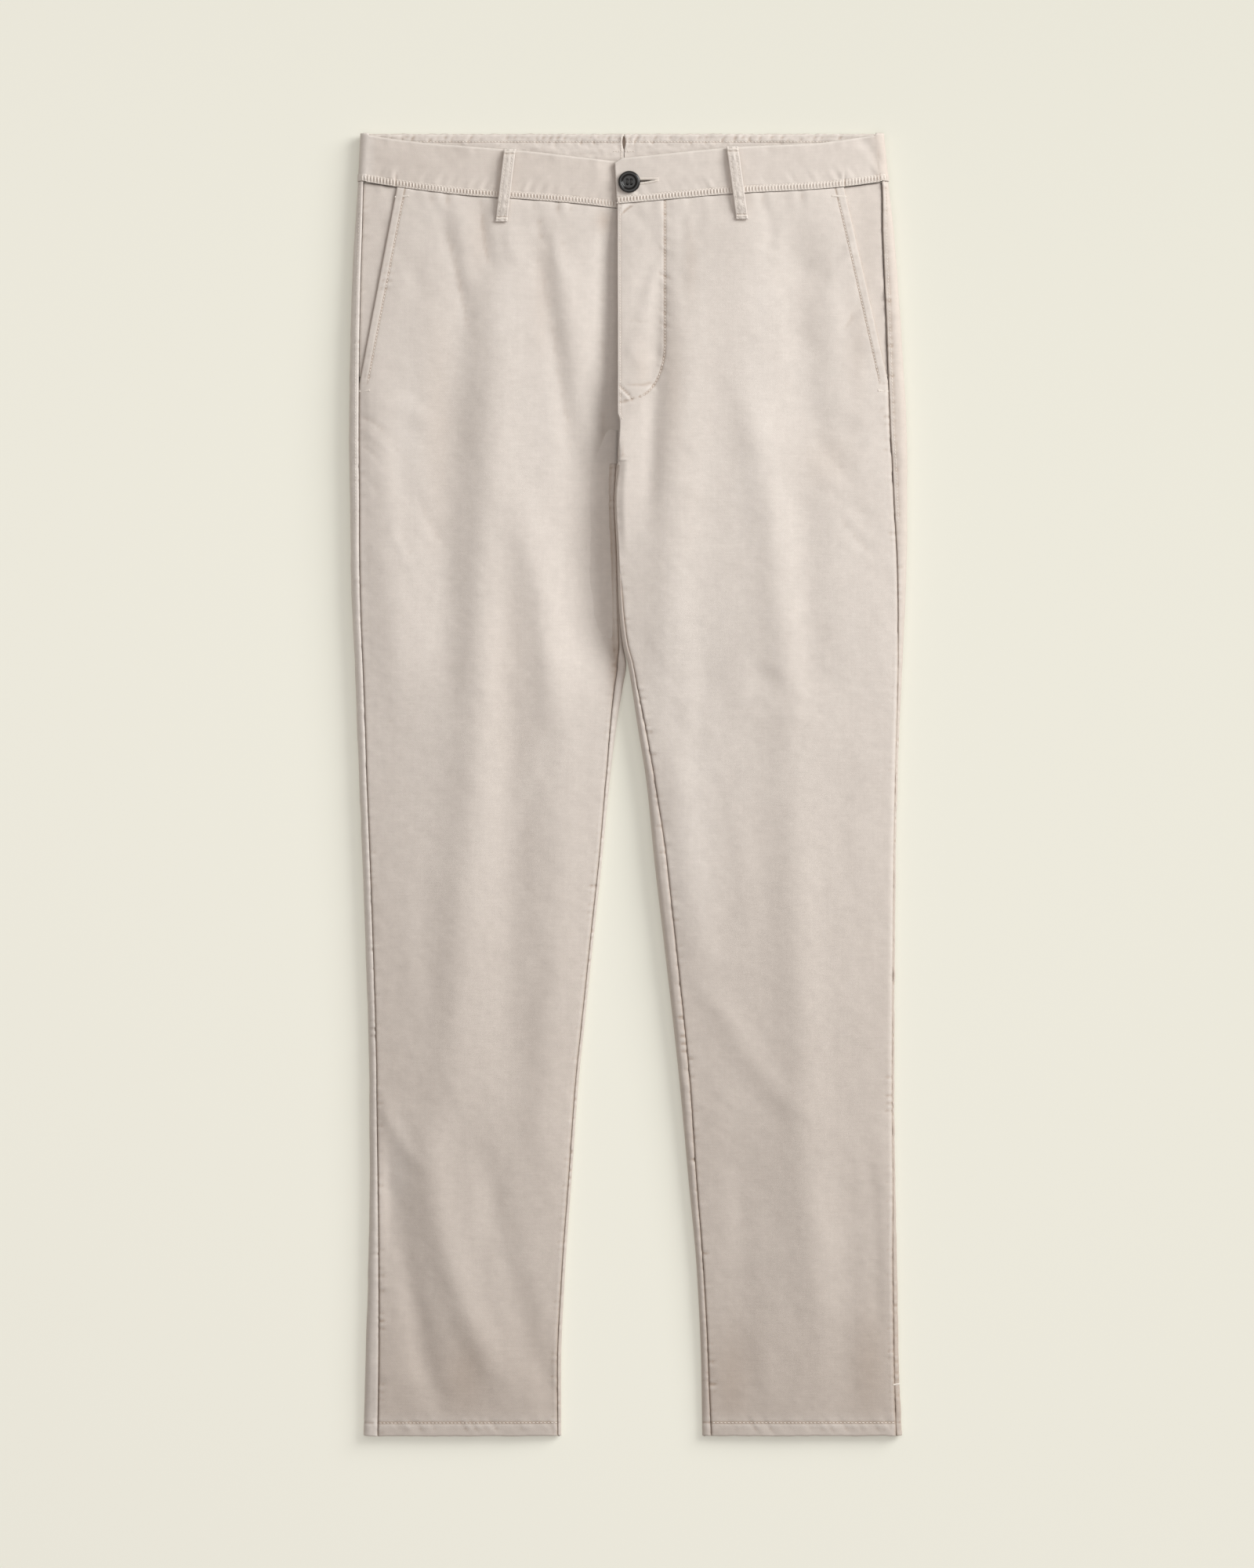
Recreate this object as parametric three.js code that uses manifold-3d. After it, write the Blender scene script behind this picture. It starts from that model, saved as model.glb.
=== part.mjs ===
// Men's chino trousers laid flat on their back with the front side up, about size 34 waist.
// Every cut piece is a thin cloth wall of its own: the back panels lie on the ground, turn up round
// the folds at both sides of each leg, and meet the front panels at the seams on the upper side.
// Millimetres. +X is the wearer's left, +Y runs from the hems to the waist, +Z is up.
// The origin is on the ground under the middle of the laid-out garment.

import * as THREE from 'three';
import { mergeVertices } from 'three/addons/utils/BufferGeometryUtils.js';
import Module from 'manifold-3d';

const wasm = await Module();
wasm.setup();

// Driving dimensions
const LENGTH = 1078; // waist edge to hem, measured down the side
const WAISTBAND_WIDTH = 40;
const RISE = 272; // waist edge to the point where the legs begin
const HEM_FOLD = 11; // depth of the turned-up hem
const CLOTH = 1.1; // one layer of twill
const HEM_WALL = 2.0; // the hem is doubled
const WAISTBAND_WALL = 2.4; // facing, interlining and turned edges
const SEAM_GAP = 0.3;
const OUTER_ROLL = 6.5; // sideways radius of the fold down each side
const CROWN_POWER = 2.5; // how flat the stuffed shape is across a leg
const FLY_STEP = 1.5; // drop of the right front where it passes under the fly
const FLY_UNDERLAP = 3;
const LAYER_DROP = 1.5; // one layer lying under another, cloth and gap
const LOOP_WIDTH = 10.4;
const LOOP_WALL = 1.6;
const LOOP_LIFT = 2.7; // how far a front loop stands off the waistband
const DIRECTION_STEP = 0.2; // reach on each side when the direction of the cloth is measured
const BUTTON_RADIUS = 9.1;
const CLOTH_COLOUR = 0xd6cbc0;
const BUTTON_COLOUR = 0x1d1c1d;

const TOP_Y = LENGTH / 2;
const HEM_Y = -LENGTH / 2;
const WAIST_SEAM_Y = TOP_Y - WAISTBAND_WIDTH;
const CROTCH_Y = TOP_Y - RISE;
const POCKET_TIP_Y = 331;
const LEG_GAP_Y = 100; // below this the legs part
const BACK_CENTRE_X = -3.6;
const BACK_LIFT = LOOP_WALL + SEAM_GAP + 0.1; // the waist rests on the loops behind it
const LIFT_STARTS_Y = WAIST_SEAM_Y - 74;
const LIFT_ENDS_Y = WAIST_SEAM_Y - 14;
const FOLDS_FADE_OUTER = [4, 18]; // folds fade out between these distances from the outer edge
const FOLDS_FADE_INNER = [1, 9]; // and between these from the inner edge of a leg

// Sections across each leg, from the waist to the hem. outer and inner are the edges of the
// outline, outseam and inseam the distance of each seam from that edge seen from above, inRoll the
// sideways radius of the inner fold, and the last three the height at the edges and the crown.
const COLUMNS = ['y', 'outer', 'outseam', 'inner', 'inRoll', 'inseam', 'outHigh', 'crown', 'inHigh'];

// A table with named columns.
function table(columns, rows) {
  return rows.map((row) => Object.fromEntries(columns.map((name, i) => [name, row[i]])));
}

const RIGHT_ROWS = table(COLUMNS, [
  [539, -221.3, 4.0, -7.5, 0, 0.7, 10, 1.5, 10.5],
  [499, -223.4, 4.4, -7.4, 0, 0.7, 10, 2.5, 10.5],
  [456, -226.5, 6.5, -7.4, 0, 0.7, 10.5, 5, 10.5],
  [413, -228.5, 7.2, -7.3, 0, 0.7, 11, 7.5, 10],
  [352, -230.4, 8.1, -7.2, 0, 0.7, 11.5, 9.5, 9.5],
  [300, -231, 8.4, -7.2, 0, 0.7, 12, 10.5, 9.5],
  [267, -230.7, 8.2, -7.3, 3, 0.9, 12, 11, 9.5],
  [235, -230.3, 8, -7.3, 4, 0.9, 12, 11, 9],
  [196, -229.8, 7.5, -6.8, 4.5, 1.3, 12, 11, 8.5],
  [144, -228.5, 7.2, -5.9, 4.5, 1.7, 11.5, 10.5, 8.5],
  [116, -227.1, 6.9, -3.9, 4.5, 3.2, 11.5, 10, 8.5],
  [100, -226.4, 6.9, -1.4, 4.5, 7.4, 11, 10, 8.5],
  [80, -225.7, 7, -4.5, 4.5, 7, 11, 9.5, 8.5],
  [50, -224.6, 7, -9.4, 4.5, 5.2, 10.5, 9, 8.5],
  [0, -222.6, 6.5, -15.5, 5, 3.2, 10, 8.5, 8.5],
  [-65, -220, 6.5, -21.8, 5, 2.6, 9.5, 8, 8.5],
  [-130, -217.7, 6.5, -28.8, 5, 2.6, 9.5, 7.5, 8],
  [-195, -215.5, 6.3, -35.6, 5, 2.6, 9, 7, 8],
  [-246, -214.4, 6.3, -40.9, 5, 2.6, 9, 7, 8],
  [-324, -214.2, 7.1, -46.5, 5, 2.6, 8.5, 6.5, 7.5],
  [-405, -215.5, 9.1, -52.2, 5, 2.8, 8.5, 6, 7.5],
  [-485, -217.8, 11.2, -55.5, 5, 3.1, 8, 5.5, 7.5],
  [-539, -219.1, 11.7, -55.4, 4.5, 2.8, 7.5, 4.5, 7],
]);

const LEFT_ROWS = table(COLUMNS, [
  [539, 211.3, 5.2, -7.5, 0, 0.7, 10, 1.5, 13.5],
  [499, 215.2, 5.8, -7.4, 0, 0.7, 10, 2, 13.5],
  [456, 219.9, 9.8, -7.4, 0, 0.7, 10.5, 4, 14],
  [413, 223.5, 11.6, -7.3, 0, 0.7, 11, 6, 14],
  [352, 227.4, 13.2, -7.2, 0, 0.7, 11.5, 8, 14],
  [300, 230.2, 14.2, -7.2, 0, 0.7, 12, 9, 13.5],
  [267, 230.9, 13, -7.3, 3, 0.9, 12, 9.5, 13.5],
  [235, 231, 11.6, -7.3, 3.5, 0.9, 12, 9.5, 13.5],
  [196, 230.8, 9.2, -6.8, 3.5, 0.9, 12, 9.5, 13],
  [144, 229.2, 6.2, -5.9, 3.5, 3.3, 11.5, 9.5, 12.5],
  [116, 227.9, 4.7, -3.9, 3.5, 3.9, 11.5, 9.5, 12],
  [100, 227.2, 3.9, -0.5, 3.5, 4.1, 11, 9, 11.5],
  [80, 226.2, 3.2, 2.9, 3.5, 4.6, 11, 9, 11],
  [50, 224.8, 2.4, 7.4, 4, 6.2, 10.5, 8.5, 10.5],
  [0, 223, 1.8, 15.2, 4, 7.1, 10, 8, 10],
  [-65, 221.6, 1.5, 21.7, 4.5, 10.2, 10, 8, 9.5],
  [-130, 221, 1.4, 29.3, 4.5, 9.7, 9.5, 7.5, 9],
  [-195, 220.5, 1.4, 36.8, 4.5, 9.1, 9.5, 7, 9],
  [-246, 220.3, 1.5, 42.3, 4.5, 8.5, 9, 7, 8.5],
  [-324, 221.2, 1.8, 49.5, 4.5, 6.6, 9, 6.5, 8],
  [-405, 222.9, 3.8, 56.8, 4.5, 5.5, 8.5, 6, 8],
  [-485, 224.5, 4.2, 60.4, 4.5, 5.9, 8, 5.5, 7.5],
  [-539, 226.8, 4.9, 61.2, 4.5, 7.4, 7.5, 4.5, 7],
]);

// The front waist seam and the waistband's upper edge, which dips below the back one.
const WAIST_COLUMNS = ['x', 'seam', 'top'];

const RIGHT_WAIST = table(WAIST_COLUMNS, [
  [22, 474.6, 514.2],
  [-10, 476.8, 515.8],
  [-46, 480.3, 519.6],
  [-93, 483.9, 524.6],
  [-134, 486.6, 527.8],
  [-165, 490.2, 530.4],
  [-199, 495, 534.6],
  [-223, 499, 539],
]);

const LEFT_WAIST = table(WAIST_COLUMNS, [
  [215, 499, 539],
  [200, 496.7, 536.6],
  [176, 493.6, 532.8],
  [152, 491.4, 530],
  [94, 488.3, 527.2],
  [19, 481.9, 520.2],
  [-12, 479.3, 517.2],
]);

// The slanted hip pocket mouths, from the tip on the outseam to the waist seam.
const RIGHT_POCKET = { tipX: -222.5, topX: -191.5 };
const LEFT_POCKET = { tipX: 215.3, topX: 178.4 };
const POCKET_UNDERLAP = 8; // how far the facing runs on under the mouth
const FACING_START = 6; // the facing begins this far above the pocket's tip
const FACING_CELLS = 5;

// Soft folds down the fronts: where each starts, passes its middle and ends, its half width, and
// its height, which is negative for a trough.
const FOLD_COLUMNS = ['startY', 'endY', 'startX', 'midX', 'endX', 'wide', 'high'];

const RIGHT_FOLDS = table(FOLD_COLUMNS, [
  [476, 78, -16, -20, -13, 12, -6.5], // valley beside the fly and the inner thigh
  [470, -360, -115, -129, -146, 20, 4.5], // centre crest
  [-250, -522, -146, -137, -92, 15, 4], // the crest swinging in to the hem
  [466, 30, -143, -158, -144, 18, -3.5],
  [290, 40, -214, -198, -190, 15, 2],
  [470, 250, -79, -60, -44, 9, -2.5], // drag line from the waistband to the crotch
  [480, 255, -65, -45, -33, 11, 3],
  [250, -80, -108, -101, -106, 16, -2.5],
  [262, 10, -97, -75, -56, 16, 3.5],
  [486, 395, -138, -133, -126, 8, 2],
  [405, 310, -164, -157, -150, 9, 2],
  [-276, -532, -207, -181, -146, 12, -3.5], // from the outseam down across the shin
]);

const LEFT_FOLDS = table(FOLD_COLUMNS, [
  [440, 40, 57, 41, 34, 16, 4], // crest from the fly down the inner thigh
  [410, 190, 38, 27, 14, 9, -3],
  [360, -10, 94, 124, 131, 18, 3.5], // centre crest
  [70, -505, 132, 140, 160, 20, 3.5],
  [310, 10, 80, 66, 95, 20, -2.5],
  [270, 50, 150, 146, 156, 18, -2.5],
  [-140, -262, 60, 98, 140, 8, 2.5], // diagonal below the knee
  [-250, -520, 110, 95, 100, 20, -1.5],
]);

const RIGHT = { side: -1, rows: RIGHT_ROWS, waist: RIGHT_WAIST, pocket: RIGHT_POCKET, folds: RIGHT_FOLDS };
const LEFT = { side: 1, rows: LEFT_ROWS, waist: LEFT_WAIST, pocket: LEFT_POCKET, folds: LEFT_FOLDS };

const lerp = (a, b, t) => a + (b - a) * t;
const clamp = (value, low, high) => Math.min(Math.max(value, low), high);
const smooth = (from, to, value) => {
  const t = clamp((value - from) / (to - from), 0, 1);
  return t * t * (3 - 2 * t);
};

// A value read between the rows of a table along a smooth curve that doesn't overshoot them.
function readTable(rows, at, key, where) {
  const last = rows.length - 1;
  if (where >= rows[0][at]) return rows[0][key];
  if (where <= rows[last][at]) return rows[last][key];
  const slope = (i) => (rows[i + 1][key] - rows[i][key]) / (rows[i + 1][at] - rows[i][at]);
  const tangent = (i) => {
    if (i === 0) return slope(0);
    if (i === last) return slope(last - 1);
    const product = slope(i - 1) * slope(i);
    return product <= 0 ? 0 : (2 * product) / (slope(i - 1) + slope(i));
  };
  const next = rows.findIndex((row) => row[at] <= where);
  const span = rows[next][at] - rows[next - 1][at];
  const t = (where - rows[next - 1][at]) / span;
  return (
    rows[next - 1][key] * (1 + 2 * t) * (1 - t) ** 2 +
    tangent(next - 1) * span * t * (1 - t) ** 2 +
    rows[next][key] * t * t * (3 - 2 * t) +
    tangent(next) * span * t * t * (t - 1)
  );
}

const quarterArc = (roll, high) => (roll > 0 ? (Math.PI / 2) * Math.hypot(roll, high / 2) * Math.SQRT1_2 : 0);

// Everything about the section across one leg at a height up the garment.
function section(leg, y) {
  const s = Object.fromEntries(COLUMNS.slice(1).map((key) => [key, readTable(leg.rows, 'y', key, y)]));
  if (y > CROTCH_Y) s.inRoll = 0;
  s.inner += (leg.side * SEAM_GAP) / 2;
  s.width = Math.abs(s.outer - s.inner);
  s.outArc = quarterArc(OUTER_ROLL, s.outHigh);
  s.inArc = quarterArc(s.inRoll, s.inHigh);
  s.topPath = s.outArc + s.width - OUTER_ROLL - s.inRoll + s.inArc;
  return s;
}

// Height of the ground side of the back: flat, and lifted at the waist by the loops under it.
const groundHeight = (y) => BACK_LIFT * smooth(LIFT_STARTS_Y, LIFT_ENDS_Y, y);

function foldHeight(leg, x, y) {
  let height = 0;
  for (const f of leg.folds) {
    const t = (f.startY - y) / (f.startY - f.endY);
    if (t <= 0 || t >= 1) continue;
    const bend = 2 * f.midX - (f.startX + f.endX) / 2;
    const centre = (1 - t) ** 2 * f.startX + 2 * t * (1 - t) * bend + t * t * f.endX;
    const taper = smooth(0, 0.25, t) * smooth(1, 0.75, t);
    height += f.high * taper * Math.exp(-(((x - centre) / f.wide) ** 2));
  }
  return height;
}

const rollRise = (inset, roll) => (roll <= 0 || inset >= roll ? 1 : Math.sqrt(1 - (1 - inset / roll) ** 2));

// Height of the upper surface over a point seen from above.
function topHeight(leg, x, y) {
  const s = section(leg, y);
  const inset = clamp((s.outer - x) * leg.side, 0, s.width);
  const fromInner = s.width - inset;
  const across = inset / s.width;
  const crown = s.crown * (1 - Math.abs(2 * across - 1) ** CROWN_POWER);
  const outDrop = (s.outHigh / 2) * (1 - rollRise(inset, OUTER_ROLL));
  const inDrop = (s.inHigh / 2) * (1 - rollRise(fromInner, s.inRoll));
  const foldShare =
    smooth(...FOLDS_FADE_OUTER, inset) * (s.inRoll > 0 ? smooth(...FOLDS_FADE_INNER, fromInner) : 1);
  const underFly =
    leg.side < 0 ? FLY_STEP * smooth(20, 5, fromInner) * smooth(CROTCH_Y - 12, CROTCH_Y + 18, y) : 0;
  return (
    groundHeight(y) + lerp(s.outHigh, s.inHigh, across) + crown - outDrop - inDrop - underFly +
    foldShare * foldHeight(leg, x, y)
  );
}

// Distance along the surface from the outermost point of a fold to a seam that lies wrap inside it.
function seamPath(wrap, roll, arc) {
  if (roll <= 0) return 0;
  return wrap < roll ? (Math.acos(1 - wrap / roll) / (Math.PI / 2)) * arc : arc + wrap - roll;
}

// The sideways place of a point that lies path along the upper surface from the outer fold.
function topX(leg, s, path) {
  let inset = OUTER_ROLL + path - s.outArc;
  if (path < s.outArc) {
    inset = OUTER_ROLL * (1 - Math.cos((path / s.outArc) * (Math.PI / 2)));
  } else if (s.inArc > 0 && path > s.topPath - s.inArc) {
    inset = s.width - s.inRoll * (1 - Math.cos(((s.topPath - path) / s.inArc) * (Math.PI / 2)));
  }
  return s.outer - leg.side * inset;
}

// Above the pocket tips the rows lean, so that the last one follows the dipping waist seam.
function rowY(leg, x, y) {
  const seam = readTable(leg.waist, 'x', 'seam', x);
  const share = clamp((y - POCKET_TIP_Y) / (WAIST_SEAM_Y - POCKET_TIP_Y), 0, 1);
  return y + share * (seam - WAIST_SEAM_Y);
}

function topPoint(leg, x, y, lift = 0) {
  return new THREE.Vector3(x, y, topHeight(leg, x, y) + lift);
}

// Rows shared by every long panel, with the number of steps from each level up to the next.
const LEVELS = [
  [HEM_Y, 1],
  [HEM_Y + HEM_FOLD - 0.8, 1],
  [HEM_Y + HEM_FOLD, 16],
  [LEG_GAP_Y, 5],
  [CROTCH_Y - 2, 1],
  [CROTCH_Y + 2, 2],
  [POCKET_TIP_Y, 5],
  [WAIST_SEAM_Y - SEAM_GAP / 2, 0],
];
const ROW_Y = LEVELS.flatMap(([from, steps], i) =>
  steps === 0 ? [from] : Array.from({ length: steps }, (_, k) => lerp(from, LEVELS[i + 1][0], k / steps)),
);

const panelWall = (y) => (y < HEM_Y + HEM_FOLD - 0.5 ? HEM_WALL : CLOTH);

// Points along one row of a panel, each with the direction in which the cloth runs there.
function walk(at, paths) {
  return paths.map((path) => {
    const point = at(path);
    point.ahead = at(path + DIRECTION_STEP);
    point.behind = at(path - DIRECTION_STEP);
    return point;
  });
}

// A closed cloth wall from a grid of outer points: each row is offset in its own upright plane, to
// the side that inward gives, by the wall's thickness there.
function clothWall(outer, inward, thickness) {
  const rows = outer.length;
  const columns = outer[0].length;
  const inner = outer.map((row) =>
    row.map((point, j) => {
      const ahead = point.ahead ?? row[Math.min(j + 1, columns - 1)];
      const behind = point.behind ?? row[Math.max(j - 1, 0)];
      const along = new THREE.Vector3(ahead.x - behind.x, 0, ahead.z - behind.z).normalize();
      const wall = thickness(point.y);
      return new THREE.Vector3(point.x + inward * along.z * wall, point.y, point.z - inward * along.x * wall);
    }),
  );
  const positions = [...outer.flat(), ...inner.flat()].flatMap((p) => [p.x, p.y, p.z]);
  const out = (i, j) => i * columns + j;
  const into = (i, j) => rows * columns + i * columns + j;
  const index = [];
  const quad = (a, b, c, d) => index.push(a, b, c, a, c, d);
  for (let i = 0; i < rows - 1; i += 1) {
    for (let j = 0; j < columns - 1; j += 1) {
      quad(out(i, j), out(i, j + 1), out(i + 1, j + 1), out(i + 1, j));
      quad(into(i, j), into(i + 1, j), into(i + 1, j + 1), into(i, j + 1));
    }
  }
  for (let j = 0; j < columns - 1; j += 1) {
    quad(out(0, j + 1), out(0, j), into(0, j), into(0, j + 1));
    quad(out(rows - 1, j), out(rows - 1, j + 1), into(rows - 1, j + 1), into(rows - 1, j));
  }
  for (let i = 0; i < rows - 1; i += 1) {
    quad(out(i, 0), out(i + 1, 0), into(i + 1, 0), into(i, 0));
    quad(out(i + 1, columns - 1), out(i, columns - 1), into(i, columns - 1), into(i + 1, columns - 1));
  }
  if (inward < 0) index.reverse();
  const geometry = new THREE.BufferGeometry();
  geometry.setAttribute('position', new THREE.Float32BufferAttribute(positions, 3));
  geometry.setIndex(index);
  return geometry;
}

const steps = (count) => Array.from({ length: count + 1 }, (_, k) => k / count);
const spread = (from, to, count) => steps(count).map((t) => lerp(from, to, t));

// Where the front panel's outer edge lies: on the outseam, or on the pocket mouth above its tip.
function pocketInset(leg, s, y) {
  const share = (y - POCKET_TIP_Y) / (WAIST_SEAM_Y - POCKET_TIP_Y);
  return (s.outer - lerp(leg.pocket.tipX, leg.pocket.topX, share)) * leg.side;
}

function leaningPoint(leg, s, y, path, lift = 0) {
  const x = topX(leg, s, path);
  return topPoint(leg, x, rowY(leg, x, y), lift);
}

const FRONT_CELLS = 14; // across a front panel up to its inner fold
const EDGE_CELLS = 3; // across the inner fold, or the flat strip beside the centre seam
const EDGE_STRIP = 3;

function frontPanel(leg) {
  const outer = ROW_Y.map((y) => {
    const s = section(leg, y);
    const outEdge = Math.max(s.outseam, pocketInset(leg, s, y));
    const from = seamPath(outEdge, OUTER_ROLL, s.outArc) + SEAM_GAP / 2;
    const underlap = leg.side < 0 ? FLY_UNDERLAP * smooth(CROTCH_Y, CROTCH_Y + 15, y) : -SEAM_GAP / 2;
    const to = s.topPath - (s.inRoll > 0 ? seamPath(s.inseam, s.inRoll, s.inArc) + SEAM_GAP / 2 : -underlap);
    const turn = s.topPath - (s.inArc > 0 ? s.inArc : EDGE_STRIP);
    const paths = [...spread(from, turn, FRONT_CELLS), ...spread(turn, to, EDGE_CELLS).slice(1)];
    return walk((path) => leaningPoint(leg, s, y, path), paths);
  });
  return clothWall(outer, -leg.side, panelWall);
}

const FOLD_CELLS = 6; // round each side fold of a back panel
const FLOOR_CELLS = 4;
const SEAT_TUCK = 10; // strip of cloth beside the seat seam that becomes the inner fold of the leg
const SEAT_RISE = 2; // how high the seat seam stands at the crotch
const SEAT_RISE_LENGTH = 60;
const SEAT_BEND = 120; // the seat seam reaches its straight run this far above the crotch

// A point round a fold: distance zero is its outermost point, positive upwards and negative down.
function outerFoldPoint(leg, s, y, path) {
  if (path >= 0) {
    return topPoint(leg, topX(leg, s, path), y);
  }
  const turn = (-path / s.outArc) * (Math.PI / 2);
  const x = s.outer - leg.side * OUTER_ROLL * (1 - Math.cos(turn));
  return new THREE.Vector3(x, y, groundHeight(y) + (s.outHigh / 2) * (1 - Math.sin(turn)));
}

function innerFoldPoint(leg, s, y, path) {
  if (path >= 0) {
    return topPoint(leg, topX(leg, s, s.topPath - path), y);
  }
  const turn = (-path / s.inArc) * (Math.PI / 2);
  const x = s.inner + leg.side * s.inRoll * (1 - Math.cos(turn));
  return new THREE.Vector3(x, y, groundHeight(y) + (s.inHigh / 2) * (1 - Math.sin(turn)));
}

// Above the crotch the two backs meet on the ground, in a seam that climbs towards the crotch.
function seatPoint(leg, y, distance) {
  const straight = BACK_CENTRE_X + (leg.side * SEAM_GAP) / 2;
  const seam = lerp(section(leg, CROTCH_Y).inner, straight, smooth(CROTCH_Y, CROTCH_Y + SEAT_BEND, y));
  const rise = SEAT_RISE * smooth(CROTCH_Y + SEAT_RISE_LENGTH, CROTCH_Y, y);
  const near = clamp(1 - distance / SEAT_TUCK, 0, 1.1);
  return new THREE.Vector3(seam + leg.side * distance, y, groundHeight(y) + rise * near * near);
}

function backPanel(leg) {
  const outer = ROW_Y.map((y) => {
    const s = section(leg, y);
    const outseam = seamPath(s.outseam, OUTER_ROLL, s.outArc) - SEAM_GAP / 2;
    const sideFold = walk((path) => outerFoldPoint(leg, s, y, -path), spread(-outseam, s.outArc, FOLD_CELLS));
    const inseam = seamPath(s.inseam, s.inRoll, s.inArc) - SEAM_GAP / 2;
    const inFold =
      y < CROTCH_Y
        ? walk((path) => innerFoldPoint(leg, s, y, path), spread(-s.inArc, inseam, FOLD_CELLS))
        : walk((path) => seatPoint(leg, y, -path), spread(-SEAT_TUCK, 0, FOLD_CELLS));
    const start = sideFold[FOLD_CELLS];
    const floor = steps(FLOOR_CELLS).slice(1, -1).map((t) => start.clone().lerp(inFold[0], t));
    return [...sideFold, ...floor, ...inFold];
  });
  return clothWall(outer, leg.side, panelWall);
}

// The waistband: one piece for each side, from the centre back round the side to the front edge.
const BAND_ROWS = [0, 0.135, 0.165, 0.5, 0.8, 1]; // shares of its width, close together at the ridge
const RIDGE_END = 0.15;
const BAND_PROUD = 0.6; // the waistband stands off the panels' surface
const RIDGE_PROUD = 0.5; // the stitched lower edge stands off the waistband
const NOTCH = 1.3; // half width of the notch at the centre back
const NOTCH_FROM = 0.7;
const BAND_BACK_CELLS = 5;
const BAND_FRONT_CELLS = 12;
const BAND_CROWDING = 1.7; // the front cells grow narrower towards the side
const RIGHT_BAND_END = 22; // it runs on under the buttoned end
const LEFT_BAND_END = -11.6;
const CORNER = 3; // the buttoned end's upper corner is rounded off
const CORNER_LENGTH = 7;

const bandProud = (share) => BAND_PROUD + (share < RIDGE_END ? RIDGE_PROUD : 0);

function bandTopPoint(leg, x, share) {
  const seam = readTable(leg.waist, 'x', 'seam', x) + SEAM_GAP / 2;
  let top = readTable(leg.waist, 'x', 'top', x);
  if (leg.side > 0) top -= CORNER * smooth(CORNER_LENGTH, 0, x - LEFT_BAND_END);
  return topPoint(leg, x, lerp(seam, top, share), bandProud(share));
}

function waistband(leg, frontEnd) {
  const outer = BAND_ROWS.map((share) => {
    const y = lerp(WAIST_SEAM_Y + SEAM_GAP / 2, TOP_Y, share);
    const s = section(leg, y);
    const notch = SEAM_GAP / 2 + NOTCH * smooth(NOTCH_FROM, 1, share);
    const centreX = BACK_CENTRE_X + leg.side * notch;
    const foldStart = s.outer - leg.side * OUTER_ROLL;
    const back = spread(centreX, foldStart, BAND_BACK_CELLS)
      .slice(0, -1)
      .map((x) => new THREE.Vector3(x, y, groundHeight(y)));
    const side = steps(FOLD_CELLS).map((t) => {
      const point = outerFoldPoint(leg, s, y, lerp(-s.outArc, s.outArc, t));
      point.x += leg.side * bandProud(share) * Math.sin(t * Math.PI);
      point.z += bandProud(share) * smooth(0.5, 1, t);
      return point;
    });
    const front = steps(BAND_FRONT_CELLS)
      .slice(1)
      .map((t) => bandTopPoint(leg, lerp(foldStart, frontEnd, 1 - (1 - t) ** BAND_CROWDING), share));
    return [...back, ...side, ...front];
  });
  return clothWall(outer, -leg.side, () => WAISTBAND_WALL);
}

// The hip piece that shows between the pocket mouth and the outseam.
function pocketFacing(leg) {
  const rows = [POCKET_TIP_Y + FACING_START, ...ROW_Y.filter((y) => y > POCKET_TIP_Y + FACING_START)];
  const outer = rows.map((y) => {
    const s = section(leg, y);
    const from = seamPath(s.outseam, OUTER_ROLL, s.outArc) + SEAM_GAP / 2;
    const to = seamPath(pocketInset(leg, s, y) + POCKET_UNDERLAP, OUTER_ROLL, s.outArc);
    return walk((path) => leaningPoint(leg, s, y, path, -LAYER_DROP), spread(from, to, FACING_CELLS));
  });
  return clothWall(outer, -leg.side, () => CLOTH);
}

// The shield behind the fly opening, sewn to the right front's edge and lying under the left front.
const SHIELD = { fromX: -4, toX: 32, endY: 318, drop: 2, climb: 12, cells: 8, rows: 6 };

function shieldPoint(x, t) {
  const y = lerp(SHIELD.endY, readTable(RIGHT.waist, 'x', 'seam', x) - SEAM_GAP, t);
  const share = smooth(SHIELD.fromX, SHIELD.fromX + SHIELD.climb, x);
  const z = lerp(topHeight(RIGHT, SHIELD.fromX, y), topHeight(LEFT, x, y) - SHIELD.drop, share);
  return new THREE.Vector3(x, y, z);
}

function flyShield() {
  const across = spread(-SHIELD.toX, -SHIELD.fromX, SHIELD.cells);
  const outer = steps(SHIELD.rows).map((t) => walk((x) => shieldPoint(-x, t), across));
  return clothWall(outer, -LEFT.side, () => CLOTH);
}

// The two front belt loops lean a little, are sewn down at both ends and stand off between.
const FRONT_LOOPS = {
  belt_loop_front_right: { leg: RIGHT, topX: -98.5, bottomX: -105.3, topY: 525, bottomY: 467.4 },
  belt_loop_front_left: { leg: LEFT, topX: 86.1, bottomX: 93.9, topY: 527, bottomY: 469.3 },
};

function frontLoop({ leg, topX: upperX, bottomX, topY, bottomY }) {
  const stations = [0, 0.05, 0.1, 0.17, 0.3, 0.45, 0.6, 0.75, 0.86, 0.93, 1];
  const outer = stations.map((t) => {
    const centreX = lerp(bottomX, upperX, t);
    const y = lerp(bottomY, topY, t);
    const onBand = bandProud(0) * smooth(-6, -2, y - readTable(leg.waist, 'x', 'seam', centreX));
    const lift = LOOP_LIFT * smooth(0.03, 0.2, t) * smooth(1, 0.86, t);
    const z = topHeight(leg, centreX, y) + onBand + lift + SEAM_GAP + LOOP_WALL + 0.2;
    return [-1, 1].map((edge) => new THREE.Vector3(centreX + (edge * LOOP_WIDTH) / 2, y, z));
  });
  return clothWall(outer, 1, () => LOOP_WALL);
}

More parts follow.
